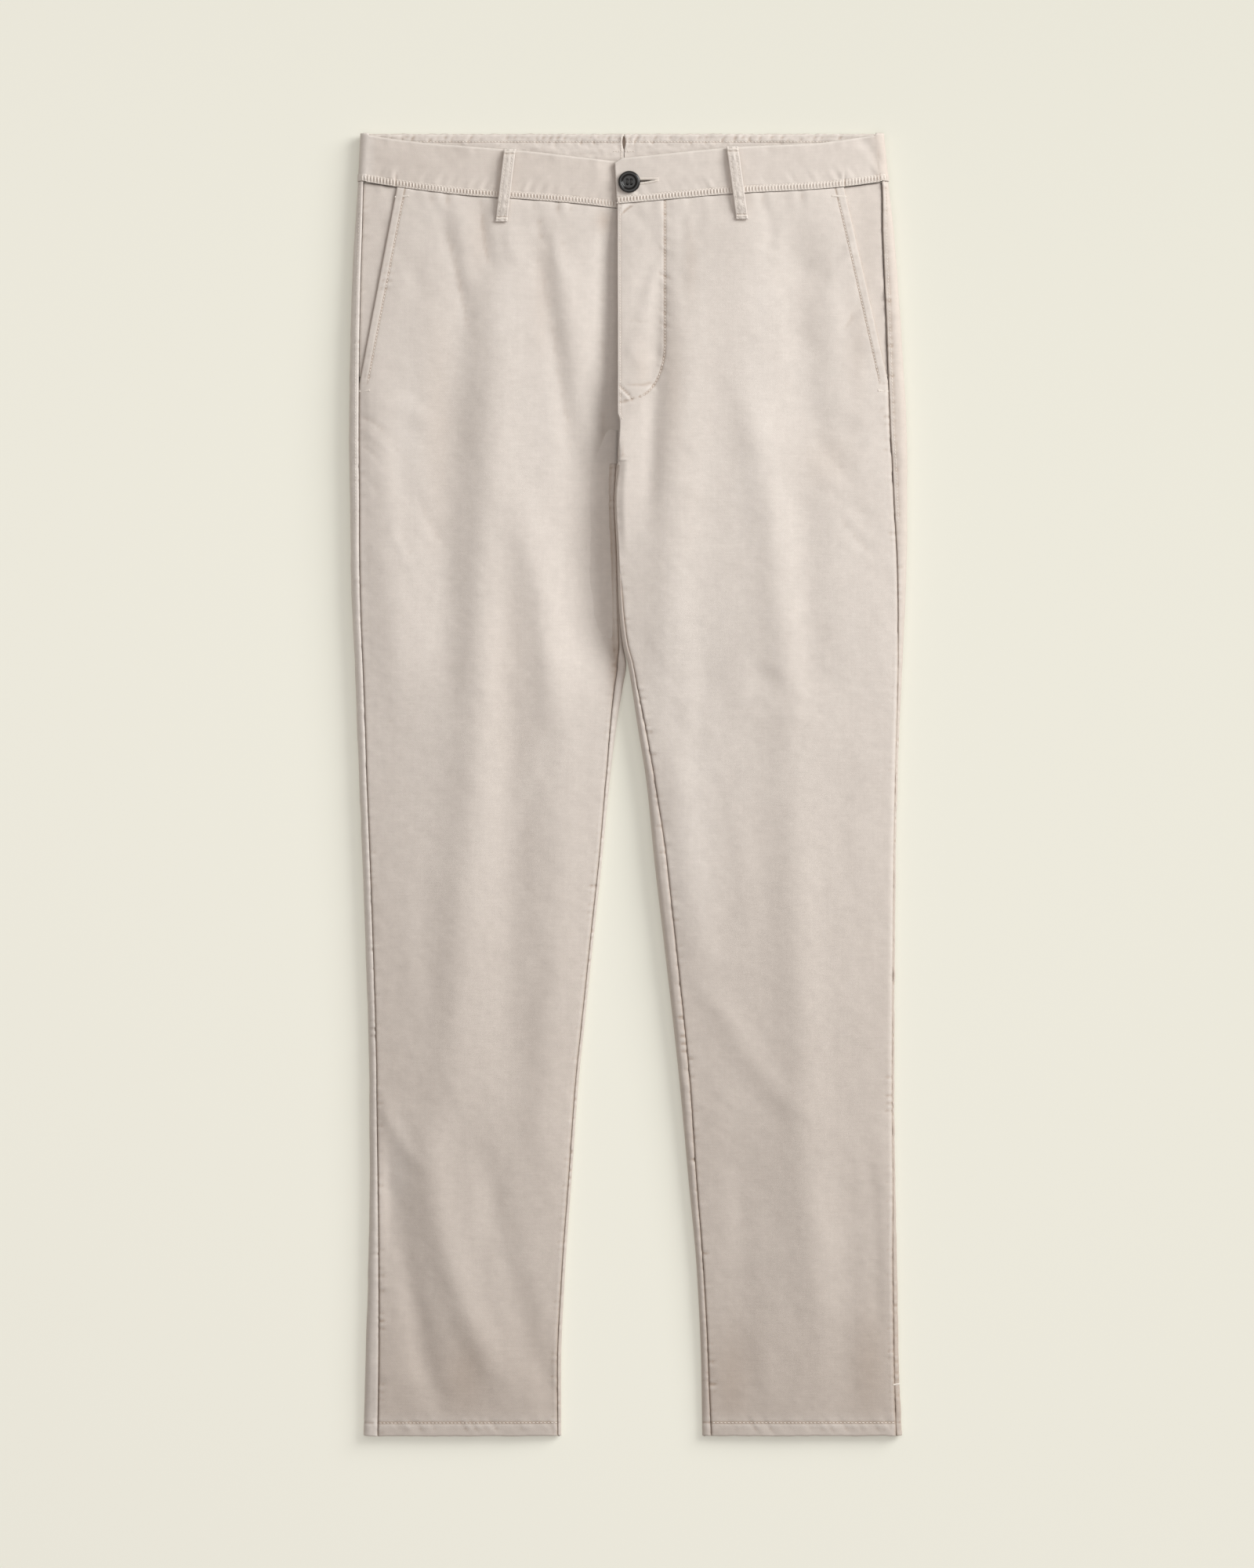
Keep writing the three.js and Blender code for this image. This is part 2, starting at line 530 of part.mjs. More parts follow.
// The loops behind the waist, pressed flat between it and the ground.
const BACK_LOOPS = {
  belt_loop_back_right: -46,
  belt_loop_back_left: 39,
  belt_loop_side_right: -150,
  belt_loop_side_left: 143,
};
const BACK_LOOP_LENGTH = 56;

function backLoop(x) {
  const loop = new THREE.BoxGeometry(LOOP_WIDTH, BACK_LOOP_LENGTH, LOOP_WALL);
  loop.translate(x, TOP_Y - 1 - BACK_LOOP_LENGTH / 2, LOOP_WALL / 2);
  return loop;
}

function toManifold(geometry) {
  const plain = geometry.clone();
  plain.deleteAttribute('normal');
  plain.deleteAttribute('uv');
  const merged = mergeVertices(plain, 1e-5);
  return new wasm.Manifold(
    new wasm.Mesh({
      numProp: 3,
      vertProperties: new Float32Array(merged.attributes.position.array),
      triVerts: new Uint32Array(merged.index.array),
    }),
  );
}

function fromManifold(solid) {
  const mesh = solid.getMesh();
  const geometry = new THREE.BufferGeometry();
  geometry.setAttribute('position', new THREE.Float32BufferAttribute(mesh.vertProperties, 3));
  geometry.setIndex(Array.from(mesh.triVerts));
  return geometry;
}

// Button and buttonhole, in the middle of the waistband at the front
const BUTTON = { x: 1, y: 499.9, high: 3.4, rim: 1.6, dish: 1.3, hole: 1.0, holeAt: 2.1, stem: 1.0 };
const BUTTONHOLE = { fromX: -1, toX: 22.5, half: 1.4 };

function cutButtonhole(bandGeometry) {
  const { fromX, toX, half } = BUTTONHOLE;
  const slot = new THREE.Shape();
  slot.absarc(toX, BUTTON.y, half, -Math.PI / 2, Math.PI / 2, false);
  slot.absarc(fromX, BUTTON.y, half, Math.PI / 2, (3 * Math.PI) / 2, false);
  const cutter = new THREE.ExtrudeGeometry(slot, { depth: 14, bevelEnabled: false, curveSegments: 6 });
  cutter.translate(0, 0, groundHeight(TOP_Y) + WAISTBAND_WALL + 3);
  return fromManifold(toManifold(bandGeometry).subtract(toManifold(cutter)));
}

function button() {
  const seat = topHeight(LEFT, BUTTON.x, BUTTON.y) + BAND_PROUD + SEAM_GAP + 0.15;
  const underlap = topHeight(RIGHT, BUTTON.x, BUTTON.y) + BAND_PROUD + SEAM_GAP;
  const top = seat + BUTTON.high;
  const profile = [
    [0, underlap],
    [BUTTON.stem, underlap],
    [BUTTON.stem, seat],
    [BUTTON_RADIUS - 1.8, seat],
    [BUTTON_RADIUS - 0.4, seat + 0.8],
    [BUTTON_RADIUS, seat + 1.7],
    [BUTTON_RADIUS - 0.3, top - 0.4],
    [BUTTON_RADIUS - 1.1, top],
    [BUTTON_RADIUS - BUTTON.rim - 0.6, top - 0.3],
    [BUTTON_RADIUS - BUTTON.rim - 1.6, top - BUTTON.dish * 0.75],
    [0, top - BUTTON.dish],
  ].map(([radius, height]) => new THREE.Vector2(radius, height));
  const disc = new THREE.LatheGeometry(profile, 28);
  disc.rotateX(Math.PI / 2);
  disc.translate(BUTTON.x, BUTTON.y, 0);
  let solid = toManifold(disc);
  for (let k = 0; k < 4; k += 1) {
    const turn = Math.PI / 4 + (k * Math.PI) / 2;
    const drill = new THREE.CylinderGeometry(BUTTON.hole, BUTTON.hole, BUTTON.high * 3, 10);
    drill.rotateX(Math.PI / 2);
    const reach = BUTTON.holeAt * Math.SQRT2;
    drill.translate(BUTTON.x + reach * Math.cos(turn), BUTTON.y + reach * Math.sin(turn), seat + 1);
    solid = solid.subtract(toManifold(drill));
  }
  return fromManifold(solid);
}

const cloth = () => new THREE.MeshStandardMaterial({ color: CLOTH_COLOUR, roughness: 0.9, metalness: 0 });
const horn = () => new THREE.MeshStandardMaterial({ color: BUTTON_COLOUR, roughness: 0.3, metalness: 0 });

const trousers = new THREE.Group();

function addPiece(name, geometry, material = cloth()) {
  const piece = new THREE.Mesh(geometry, material);
  piece.name = name;
  trousers.add(piece);
}

addPiece('front_right', frontPanel(RIGHT));
addPiece('front_left', frontPanel(LEFT));
addPiece('back_right', backPanel(RIGHT));
addPiece('back_left', backPanel(LEFT));
addPiece('pocket_facing_right', pocketFacing(RIGHT));
addPiece('pocket_facing_left', pocketFacing(LEFT));
addPiece('fly_shield', flyShield());
addPiece('waistband_right', waistband(RIGHT, RIGHT_BAND_END));
addPiece('waistband_left', cutButtonhole(waistband(LEFT, LEFT_BAND_END)));
for (const [name, loop] of Object.entries(FRONT_LOOPS)) {
  addPiece(name, frontLoop(loop));
}
for (const [name, x] of Object.entries(BACK_LOOPS)) {
  addPiece(name, backLoop(x));
}
addPiece('button', button(), horn());

export default trousers;
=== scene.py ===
"""Chino trousers laid flat with the front side up, seen from straight above.

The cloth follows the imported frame's outline. The fronts have their own heights and folds, which
differ from the frame's most beside the line where the legs meet. Lengths are in millimetres until a
mesh is made. +X is the wearer's left, +Y runs from the hems to the waist, and +Z is up from the
ground.
"""

import math

import bpy
import numpy as np
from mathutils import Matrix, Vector


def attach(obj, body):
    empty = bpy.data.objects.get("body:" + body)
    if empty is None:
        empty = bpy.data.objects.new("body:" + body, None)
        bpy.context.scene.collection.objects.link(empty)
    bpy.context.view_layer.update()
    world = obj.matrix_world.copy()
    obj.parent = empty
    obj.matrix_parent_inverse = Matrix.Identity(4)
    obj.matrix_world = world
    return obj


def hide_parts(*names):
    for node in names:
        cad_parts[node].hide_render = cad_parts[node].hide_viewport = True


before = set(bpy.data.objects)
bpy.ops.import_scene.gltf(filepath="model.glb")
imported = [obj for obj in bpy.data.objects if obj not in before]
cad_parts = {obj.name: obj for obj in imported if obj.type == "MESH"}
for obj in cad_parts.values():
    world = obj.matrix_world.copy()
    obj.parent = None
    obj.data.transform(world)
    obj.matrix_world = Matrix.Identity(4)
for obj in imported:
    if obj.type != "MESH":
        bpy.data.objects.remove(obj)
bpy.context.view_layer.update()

MM = 0.001

# Driving dimensions of the garment
LENGTH = 1078.0
WAISTBAND_WIDTH = 40.0
RISE = 272.0
HEM_FOLD = 11.0
CLOTH = 1.1
HEM_WALL = 2.0
WAISTBAND_WALL = 2.4
SEAM_GAP = 0.3
OUTER_ROLL = 6.5
CROWN_POWER = 2.5
FLY_STEP = 1.5
FLY_UNDERLAP = 3.0
LAYER_DROP = 1.5
LOOP_WIDTH = 9.8
LOOP_WALL = 1.6
LOOP_LIFT = 2.3
BUTTON_RADIUS = 9.1

TOP_Y = LENGTH / 2
HEM_Y = -LENGTH / 2
WAIST_SEAM_Y = TOP_Y - WAISTBAND_WIDTH
CROTCH_Y = TOP_Y - RISE
POCKET_TIP_Y = 331.0
BACK_CENTRE_X = -3.6
BACK_LIFT = LOOP_WALL + SEAM_GAP + 0.1
LIFT_STARTS_Y = WAIST_SEAM_Y - 74
LIFT_ENDS_Y = WAIST_SEAM_Y - 14
FOLDS_FADE_OUTER = (4, 18)
FOLDS_FADE_INNER = (1, 9)
SEAM_DIP_LENGTH = 16.0  # above the crotch the two fronts still dip into their seam this far

# Sections across each leg, from the waist to the hem. Beside the line where the legs meet, the right
# leg lies lower than in the frame and the left leg higher.
SECTION = ("y", "outer", "outseam", "inner", "in_roll", "inseam", "out_high", "crown", "in_high")

RIGHT_SECTIONS = (
    (539, -221.3, 4.0, -7.5, 0, 0.7, 10, 1.5, 10.5),
    (499, -223.4, 4.4, -7.4, 0, 0.7, 10.5, 2.2, 10.5),
    (456, -226.5, 6.5, -7.4, 0, 0.7, 12, 3.4, 10.5),
    (413, -228.5, 7.2, -7.3, 0, 0.7, 13.2, 4.4, 10.5),
    (352, -230.4, 8.1, -7.2, 0, 0.7, 14.4, 5, 9.8),
    (300, -231, 8.4, -7.2, 0, 0.7, 15, 5, 6.5),
    (267, -230.7, 8.2, -8.7, 3, 0.9, 15.2, 5, 4.2),
    (235, -230.3, 8, -9.9, 4, 0.9, 15.2, 5, 3.4),
    (196, -229.8, 7.5, -8.1, 4.5, 1.3, 15, 5, 3.4),
    (144, -228.5, 7.2, -6.5, 4.5, 1.7, 14.5, 5, 3.8),
    (116, -227.1, 6.9, -4.2, 4.5, 3.2, 14.2, 5, 5.5),
    (100, -226.4, 6.9, -1.4, 4.5, 7.4, 14, 5, 6.8),
    (80, -225.7, 7, -4.5, 4.5, 7, 13.8, 5, 7.6),
    (50, -224.6, 7, -9.4, 4.5, 5.2, 13.3, 4.8, 7.6),
    (0, -222.6, 6.5, -15.5, 5, 3.2, 13, 4.6, 7.6),
    (-65, -220, 6.5, -21.8, 5, 2.6, 12.5, 4.4, 7.2),
    (-130, -217.7, 6.5, -28.8, 5, 2.6, 12.3, 4.4, 6.8),
    (-195, -215.5, 6.3, -35.6, 5, 2.6, 12, 4.2, 6.8),
    (-246, -214.4, 6.3, -40.9, 5, 2.6, 12, 4.2, 6.8),
    (-324, -214.2, 7.1, -46.5, 5, 2.6, 11.5, 4, 6.8),
    (-405, -215.5, 9.1, -52.2, 5, 2.8, 11, 3.6, 6.8),
    (-485, -217.8, 11.2, -55.5, 5, 3.1, 10.2, 3, 7),
    (-539, -219.1, 11.7, -55.4, 4.5, 2.8, 8.2, 1.6, 6),
)

LEFT_SECTIONS = (
    (539, 211.3, 5.2, -7.5, 0, 0.7, 10, 1.5, 13.5),
    (499, 215.2, 5.8, -7.4, 0, 0.7, 11, 2, 13.5),
    (456, 219.9, 9.8, -7.4, 0, 0.7, 12.5, 3.6, 15),
    (413, 223.5, 11.6, -7.3, 0, 0.7, 13, 4.2, 16),
    (352, 227.4, 13.2, -7.2, 0, 0.7, 13.5, 4.6, 17.8),
    (300, 230.2, 14.2, -7.2, 0, 0.7, 13.5, 4.6, 20.5),
    (267, 230.9, 13, -9.3, 3, 0.9, 13.5, 4.6, 21.8),
    (235, 231, 11.6, -11.4, 2, 0.9, 13, 4.6, 23.4),
    (196, 230.8, 9.2, -9.6, 2, 0.9, 12.5, 4.6, 23.4),
    (144, 229.2, 6.2, -7.5, 2.4, 3.3, 12, 4.6, 22),
    (116, 227.9, 4.7, -4.6, 3, 3.9, 11.5, 4.6, 19.5),
    (100, 227.2, 3.9, -0.5, 3.5, 4.1, 11, 4.6, 18.3),
    (80, 226.2, 3.2, 2.9, 3.5, 4.6, 10.5, 4.4, 17.5),
    (50, 224.8, 2.4, 7.4, 4, 6.2, 10.5, 4.2, 17),
    (0, 223, 1.8, 15.2, 4, 7.1, 10, 4, 16.4),
    (-65, 221.6, 1.5, 21.7, 4.5, 10.2, 10, 3.8, 15.6),
    (-130, 221, 1.4, 29.3, 4.5, 9.7, 9.5, 3.8, 14.6),
    (-195, 220.5, 1.4, 36.8, 4.5, 9.1, 9, 3.8, 13.4),
    (-246, 220.3, 1.5, 42.3, 4.5, 8.5, 8.5, 3.8, 12.2),
    (-324, 221.2, 1.8, 49.5, 4.5, 6.6, 8.5, 3.8, 10.4),
    (-405, 222.9, 3.8, 56.8, 4.5, 5.5, 8.5, 3.6, 9.2),
    (-485, 224.5, 4.2, 60.4, 4.5, 5.9, 8, 3, 7.5),
    (-539, 226.8, 4.9, 61.2, 4.5, 7.4, 7, 1.6, 6),
)

# The front waist seam and the waistband's upper edge
WAIST = ("x", "seam", "top")
RIGHT_WAIST = (
    (22, 474.6, 514.2),
    (-10, 476.8, 515.8),
    (-46, 480.3, 519.6),
    (-93, 483.9, 524.6),
    (-134, 486.6, 527.8),
    (-165, 490.2, 530.4),
    (-199, 495, 534.6),
    (-223, 499, 539),
)
LEFT_WAIST = (
    (215, 499, 539),
    (200, 496.7, 536.6),
    (176, 493.6, 532.8),
    (152, 491.4, 530),
    (94, 488.3, 527.2),
    (19, 481.9, 520.2),
    (-12, 479.3, 517.2),
)

# The main folds: start y, end y, x at the start, middle and end, half width, height
RIGHT_FOLDS = (
    (476, 330, -15, -17, -18, 10, -3.0),
    (380, 44, -16, -18, -8, 12, -2.4),
    (376, 50, -27, -34, -24, 21, -5.2),
    (470, -360, -104, -124, -157, 20, 4.2),
    (-250, -522, -165, -150, -92, 15, 3.6),
    (470, 30, -124, -150, -146, 18, -3.2),
    (380, 40, -212, -200, -190, 16, 2.1),
    (474, 250, -79, -60, -43, 9, -2.0),
    (456, 255, -62, -44, -33, 14, 2.1),
    (250, -330, -107, -97, -102, 16, -2.4),
    (70, -390, -50, -60, -76, 17, 1.9),
    (262, 10, -94, -72, -54, 16, 3.2),
    (486, 395, -142, -136, -129, 8, 1.1),
    (-276, -540, -204, -184, -152, 13, -3.2),
    (-270, -532, -128, -98, -60, 13, -2),
)
LEFT_FOLDS = (
    (440, 30, 52, 41, 28, 20, 2.8),
    (60, -190, 32, 49, 62, 17, 2.6),
    (470, 190, 30, 22, 16, 9, -2.6),
    (478, 236, -6, -6, -7, 22, 1.4),
    (316, 180, -7, -7, -6, 9, 1.8),
    (370, -10, 88, 123, 133, 17, 3.2),
    (70, -505, 136, 143, 160, 19, 3.4),
    (310, 10, 76, 62, 90, 20, -1.0),
    (270, 50, 150, 146, 156, 18, -2.1),
    (490, 240, 136, 143, 150, 18, -2.6),
    (-156, -284, 60, 98, 146, 13, 1.4),
    (-250, -520, 110, 95, 100, 20, -1.5),
    (-290, -575, 186, 182, 176, 18, -1.9),
)

# Smaller creases that only the cloth's surface shows: start x and y, end x and y, sideways bend,
# half width, height
RIGHT_CREASES = (
    (-121, 480, -113, 424, 2, 6, -1.3),
    (-98, 466, -92, 430, 2, 6, 0.8),
    (-74, 470, -70, 446, 1, 5, -0.7),
    (-60, 462, -54, 418, 2, 5, 0.8),
    (-176, 440, -170, 398, 2, 8, -0.8),
    (-190, 300, -176, 220, 5, 9, -0.8),
    (-205, 316, -160, 296, -4, 8, 0.8),
    (-88, 180, -80, 60, -6, 8, -0.6),
    (-60, 40, -92, -60, 3, 8, -0.6),
    (-158, 480, -132, 372, -3, 6, -0.9),
    (-222, 304, -200, 290, -2, 2.4, -0.35),
    (-222, 294, -190, 268, -2, 3.0, 0.3),
    (-221, 280, -202, 262, -2, 2.4, -0.3),
    (-221, 256, -206, 238, -2, 3.0, -0.25),
    (-176, 244, -150, 196, 3, 5, -0.5),
    (-196, 224, -178, 176, 3, 5, 0.5),
    (-180, -60, -172, -200, 6, 10, 0.6),
    (-70, -130, -84, -260, 5, 9, -0.6),
    (-204, -262, -170, -318, 3, 7, 0.9),
    (-96, -300, -120, -420, 8, 10, -0.7),
    (-190, -360, -176, -470, 6, 8, 0.7),
    (-70, -420, -78, -520, 3, 8, 0.6),
)
LEFT_CREASES = (
    (136, 430, 164, 412, -3, 10, -0.9),
    (128, 376, 160, 350, -3, 11, -1.0),
    (146, 306, 192, 280, -4, 12, -1.1),
    (148, 292, 190, 240, -3, 10, -1.2),
    (176, 430, 188, 345, 0, 9, -0.8),
    (46, 476, 44, 404, 1, 5, -0.7),
    (158, 246, 204, 208, -4, 8, -0.8),
    (60, 478, 58, 446, 2, 6, -0.7),
    (112, 480, 116, 440, -3, 6, -0.8),
    (44, 462, 46, 420, 2, 6, 0.6),
    (100, 96, 136, 62, -4, 11, -1.3),
    (60, 120, 56, 20, -4, 9, -0.6),
    (222, 316, 204, 304, 2, 2.4, -0.35),
    (221, 296, 194, 278, 2, 3.0, 0.3),
    (220, 282, 202, 266, 2, 2.4, -0.3),
    (196, 420, 176, 372, -3, 5, -0.7),
    (186, 452, 168, 420, -3, 5, 0.6),
    (172, 226, 206, 188, 3, 5, -0.6),
    (178, 20, 186, -110, 5, 10, -0.6),
    (88, -20, 96, -130, -5, 9, 0.6),
    (196, -280, 204, -470, -4, 7, -0.8),
    (84, -300, 92, -420, -5, 9, -0.6),
    (112, -440, 120, -524, 3, 9, 0.6),
)
# The same for the fly: the diagonal ends of its facing, soft folds across it and its pulled edge
FLY_CREASES = (
    (-8.4, 330.6, 3.6, 318.4, 0, 0.9, -0.9),
    (-7.6, 326.8, 1.6, 317.4, 0, 1.6, 0.5),
    (-9, 315.5, 3.4, 317.2, 0, 1.0, -0.55),
    (-6, 470, 5, 479, -1, 1.0, -0.7),
    (-7, 474, 3, 482, -1, 1.8, 0.5),
    (-4, 330.5, 24, 332.5, 1.5, 2.0, -0.4),
    (-3, 382, 20, 381, -1, 2.4, -0.3),
    (23, 440, 8, 390, 3, 6.5, -0.6),
    (29, 436, 16, 392, 3, 4.5, 0.6),
    (2, 474, 22, 448, -3, 5.5, -0.45),
    (12, 370, 27, 352, 2, 6.0, -0.4),
    (0, 364, 14, 344, 2, 5.0, 0.35),
)


def lerp(a, b, t):
    return a + (b - a) * t


def smooth(start, end, value):
    t = np.clip((value - start) / (end - start), 0, 1)
    return t * t * (3 - 2 * t)


def bell(distance, reach):
    return np.exp(-((distance / reach) ** 2))


def points_at(x, y, z):
    return np.stack(np.broadcast_arrays(x, y, z), axis=-1)


def reader(rows, columns, at, key):
    """A function that reads a table along a smooth curve which doesn't overshoot its rows."""
    order = sorted(rows, key=lambda row: row[columns.index(at)])
    x = np.array([row[columns.index(at)] for row in order], float)
    v = np.array([row[columns.index(key)] for row in order], float)
    slope = np.diff(v) / np.diff(x)
    product = slope[:-1] * slope[1:]
    total = np.where(product > 0, slope[:-1] + slope[1:], 1)
    middle = np.where(product > 0, 2 * product / total, 0)
    tangent = np.concatenate([slope[:1], middle, slope[-1:]])

    def read(where):
        w = np.clip(np.asarray(where, float), x[0], x[-1])
        i = np.clip(np.searchsorted(x, w, side="right") - 1, 0, len(x) - 2)
        span = x[i + 1] - x[i]
        t = (w - x[i]) / span
        rise = tangent[i] * span * t * (1 - t) ** 2 + tangent[i + 1] * span * t * t * (t - 1)
        return v[i] * (1 + 2 * t) * (1 - t) ** 2 + v[i + 1] * t * t * (3 - 2 * t) + rise

    return read


class Noise:
    """Smooth seeded noise over the plane, from -1 to 1."""

    SIZE = 256

    def __init__(self, seed):
        self.lattice = np.random.default_rng(seed).uniform(-1, 1, (self.SIZE, self.SIZE))

    def __call__(self, u, v):
        u, v = np.broadcast_arrays(np.asarray(u, float), np.asarray(v, float))
        i, j = np.floor(u).astype(int), np.floor(v).astype(int)
        s, t = smooth(0, 1, u - i), smooth(0, 1, v - j)

        def corner(a, b):
            return self.lattice[a % self.SIZE, b % self.SIZE]

        low = lerp(corner(i, j), corner(i + 1, j), s)
        high = lerp(corner(i, j + 1), corner(i + 1, j + 1), s)
        return lerp(low, high, t)


RUMPLE = Noise(11)
STREAK = Noise(12)
CRINKLE = Noise(13)
PUCKER = Noise(14)


def quarter_arc(roll, high):
    length = math.pi / 2 * np.hypot(roll, high / 2) * math.sqrt(0.5)
    return np.where(roll > 0, length, 0)


def roll_rise(inset, roll):
    safe = np.where(roll > 0, roll, 1)
    inside = np.clip(1 - inset / safe, 0, 1)
    return np.where(roll > 0, np.sqrt(1 - inside**2), 1)


def seam_path(wrap, roll, arc):
    """Distance along the surface from the outermost point of a fold to a seam wrap inside it."""
    safe = np.where(roll > 0, roll, 1)
    turned = np.arccos(np.clip(1 - wrap / safe, -1, 1)) / (math.pi / 2) * arc
    return np.where(roll > 0, np.where(wrap < roll, turned, arc + wrap - roll), 0)


def ground_height(y):
    return BACK_LIFT * smooth(LIFT_STARTS_Y, LIFT_ENDS_Y, y)


class Section:
    """What a cut across one leg measures at each of the given heights."""


class Leg:
    def __init__(self, side, sections, waist, pocket, folds, creases):
        self.side = side
        self.read = {key: reader(sections, SECTION, "y", key) for key in SECTION[1:]}
        self.seam_y = reader(waist, WAIST, "x", "seam")
        self.band_top_y = reader(waist, WAIST, "x", "top")
        self.pocket = pocket
        self.folds = folds
        self.creases = creases

    def section(self, y):
        s = Section()
        y = np.asarray(y, float)
        for key, read in self.read.items():
            setattr(s, key, read(y))
        s.in_roll = np.where(y > CROTCH_Y, 0, s.in_roll)
        s.inner = s.inner + self.side * SEAM_GAP / 2
        s.width = np.abs(s.outer - s.inner)
        s.out_arc = quarter_arc(OUTER_ROLL, s.out_high)
        s.in_arc = quarter_arc(s.in_roll, s.in_high)
        s.top_path = s.out_arc + s.width - OUTER_ROLL - s.in_roll + s.in_arc
        return s

    def fold_height(self, x, y):
        height = np.zeros(np.broadcast(x, y).shape)
        for start_y, end_y, start_x, mid_x, end_x, wide, high in self.folds:
            t = np.clip((start_y - y) / (start_y - end_y), 0, 1)
            bend = 2 * mid_x - (start_x + end_x) / 2
            centre = (1 - t) ** 2 * start_x + 2 * t * (1 - t) * bend + t * t * end_x
            taper = smooth(0, 0.25, t) * smooth(1, 0.75, t)
            height += high * taper * bell(x - centre, wide)
        return height

    def crease_height(self, x, y, creases):
        height = np.zeros(np.broadcast(x, y).shape)
        for start_x, start_y, end_x, end_y, bend, wide, high in creases:
            run_x, run_y = end_x - start_x, end_y - start_y
            length = math.hypot(run_x, run_y)
            t = ((x - start_x) * run_x + (y - start_y) * run_y) / length**2
            off = ((x - start_x) * run_y - (y - start_y) * run_x) / length
            inside = np.clip(t, 0, 1)
            past = np.abs(t - inside) * length
            taper = smooth(-0.15, 0.3, t) * smooth(1.15, 0.7, t)
            height += high * taper * bell(off - 4 * bend * inside * (1 - inside), wide) * bell(past, wide)
        return height

    def top_height(self, x, y):
        """Height of the upper surface over a point, with the main folds."""
        s = self.section(y)
        inset = np.clip((s.outer - x) * self.side, 0, s.width)
        from_inner = s.width - inset
        across = inset / s.width
        crown = s.crown * (1 - np.abs(2 * across - 1) ** CROWN_POWER)
        out_drop = s.out_high / 2 * (1 - roll_rise(inset, OUTER_ROLL))
        in_drop = s.in_high / 2 * (1 - roll_rise(from_inner, s.in_roll))
        open_fold = s.in_roll > 0
        share = smooth(*FOLDS_FADE_OUTER, inset)
        share = share * np.where(open_fold, smooth(*FOLDS_FADE_INNER, from_inner), 1)
        height = ground_height(y) + lerp(s.out_high, s.in_high, across) + crown - out_drop - in_drop
        if self.side < 0:
            over = smooth(CROTCH_Y - 12, CROTCH_Y + 18, y)
            height = height - FLY_STEP * smooth(20, 5, from_inner) * over
        return height + share * self.fold_height(x, y)

    def rumple(self, x, y):
        """Fine unevenness of the cloth: soft rumples, streaks along the leg and a light crinkle."""
        seed = 400 * (self.side + 1)
        inset = (self.read["outer"](y) - x) * self.side
        from_inner = np.abs(self.read["outer"](y) - self.read["inner"](y)) - inset
        calm = smooth(3, 16, inset) * smooth(1, 12, from_inner)
        soft = 0.34 * RUMPLE(x / 30 + seed, y / 44) + 0.13 * STREAK((x + 0.4 * y) / 12 + seed, y / 17)
        busy = 0.5 + 0.5 * RUMPLE(x / 40, y / 40 + seed)
        lean = CRINKLE((x - 0.7 * y) / 9 + seed, (y + 0.5 * x) / 4.6) * busy
        fine = 0.1 * lean + 0.05 * CRINKLE(x / 6 + seed, y / 6) + 0.03 * CRINKLE(x / 2.4 + seed, y / 2.6)
        return calm * (soft + self.crease_height(x, y, self.creases)) + fine * smooth(0, 4, inset)

    def top_x(self, s, path):
        """The sideways place of a point that lies path along the upper surface from its edge."""
        turned = OUTER_ROLL * (1 - np.cos(np.clip(path / s.out_arc, 0, 1) * math.pi / 2))
        inset = np.where(path < s.out_arc, turned, OUTER_ROLL + path - s.out_arc)
        in_arc = np.where(s.in_arc > 0, s.in_arc, 1)
        back = np.clip((s.top_path - path) / in_arc, 0, 1)
        rolled = s.width - s.in_roll * (1 - np.cos(back * math.pi / 2))
        inset = np.where((s.in_arc > 0) & (path > s.top_path - s.in_arc), rolled, inset)
        return s.outer - self.side * inset

    def row_y(self, x, y):
        """Above the pocket tips the rows lean to follow the dipping waist seam."""
        share = np.clip((y - POCKET_TIP_Y) / (WAIST_SEAM_Y - POCKET_TIP_Y), 0, 1)
        return y + share * (self.seam_y(x) - WAIST_SEAM_Y)

    def level_y(self, x, y):
        """The unleaned row that passes a point, the reverse of row_y."""
        share = (y - POCKET_TIP_Y) / (self.seam_y(x) - POCKET_TIP_Y)
        leaned = POCKET_TIP_Y + share * (WAIST_SEAM_Y - POCKET_TIP_Y)
        return np.where(y > POCKET_TIP_Y, leaned, y)

    def pocket_inset(self, s, y):
        share = (y - POCKET_TIP_Y) / (WAIST_SEAM_Y - POCKET_TIP_Y)
        return (s.outer - lerp(self.pocket[0], self.pocket[1], share)) * self.side

    def front_limits(self, s, y):
        """Where the front panel begins and ends along the upper surface."""
        mouth = np.maximum(s.outseam, self.pocket_inset(s, y))
        begin = seam_path(mouth, OUTER_ROLL, s.out_arc) + SEAM_GAP / 2
        if self.side < 0:
            under = FLY_UNDERLAP * smooth(CROTCH_Y, CROTCH_Y + 15, y)
        else:
            under = FLY_OVERLAP * smooth(FLY_NOTCH_Y - 3, FLY_NOTCH_Y + 3, y) - SEAM_GAP / 2
        seam = seam_path(s.inseam, s.in_roll, s.in_arc) + SEAM_GAP / 2
        return begin, s.top_path - np.where(s.in_roll > 0, seam, -under)


RIGHT = Leg(-1, RIGHT_SECTIONS, RIGHT_WAIST, (-222.5, -191.5), RIGHT_FOLDS, RIGHT_CREASES)
LEFT = Leg(1, LEFT_SECTIONS, LEFT_WAIST, (215.3, 178.4), LEFT_FOLDS, LEFT_CREASES)

# Seams and stitching on the panels
POCKET_STITCH = 7.0
FLY_EDGE_STITCH = 2.2
FLY_STITCH_X = 30.2
FLY_CURVE_Y = 366.0
FLY_END = (3.1, 318.9)
FLY_NOTCH_Y = 304.0
FLY_OVERLAP = 2.0
OUTSEAM_STITCH = 3.0
OUTSEAM_STITCH_END_Y = 216.0


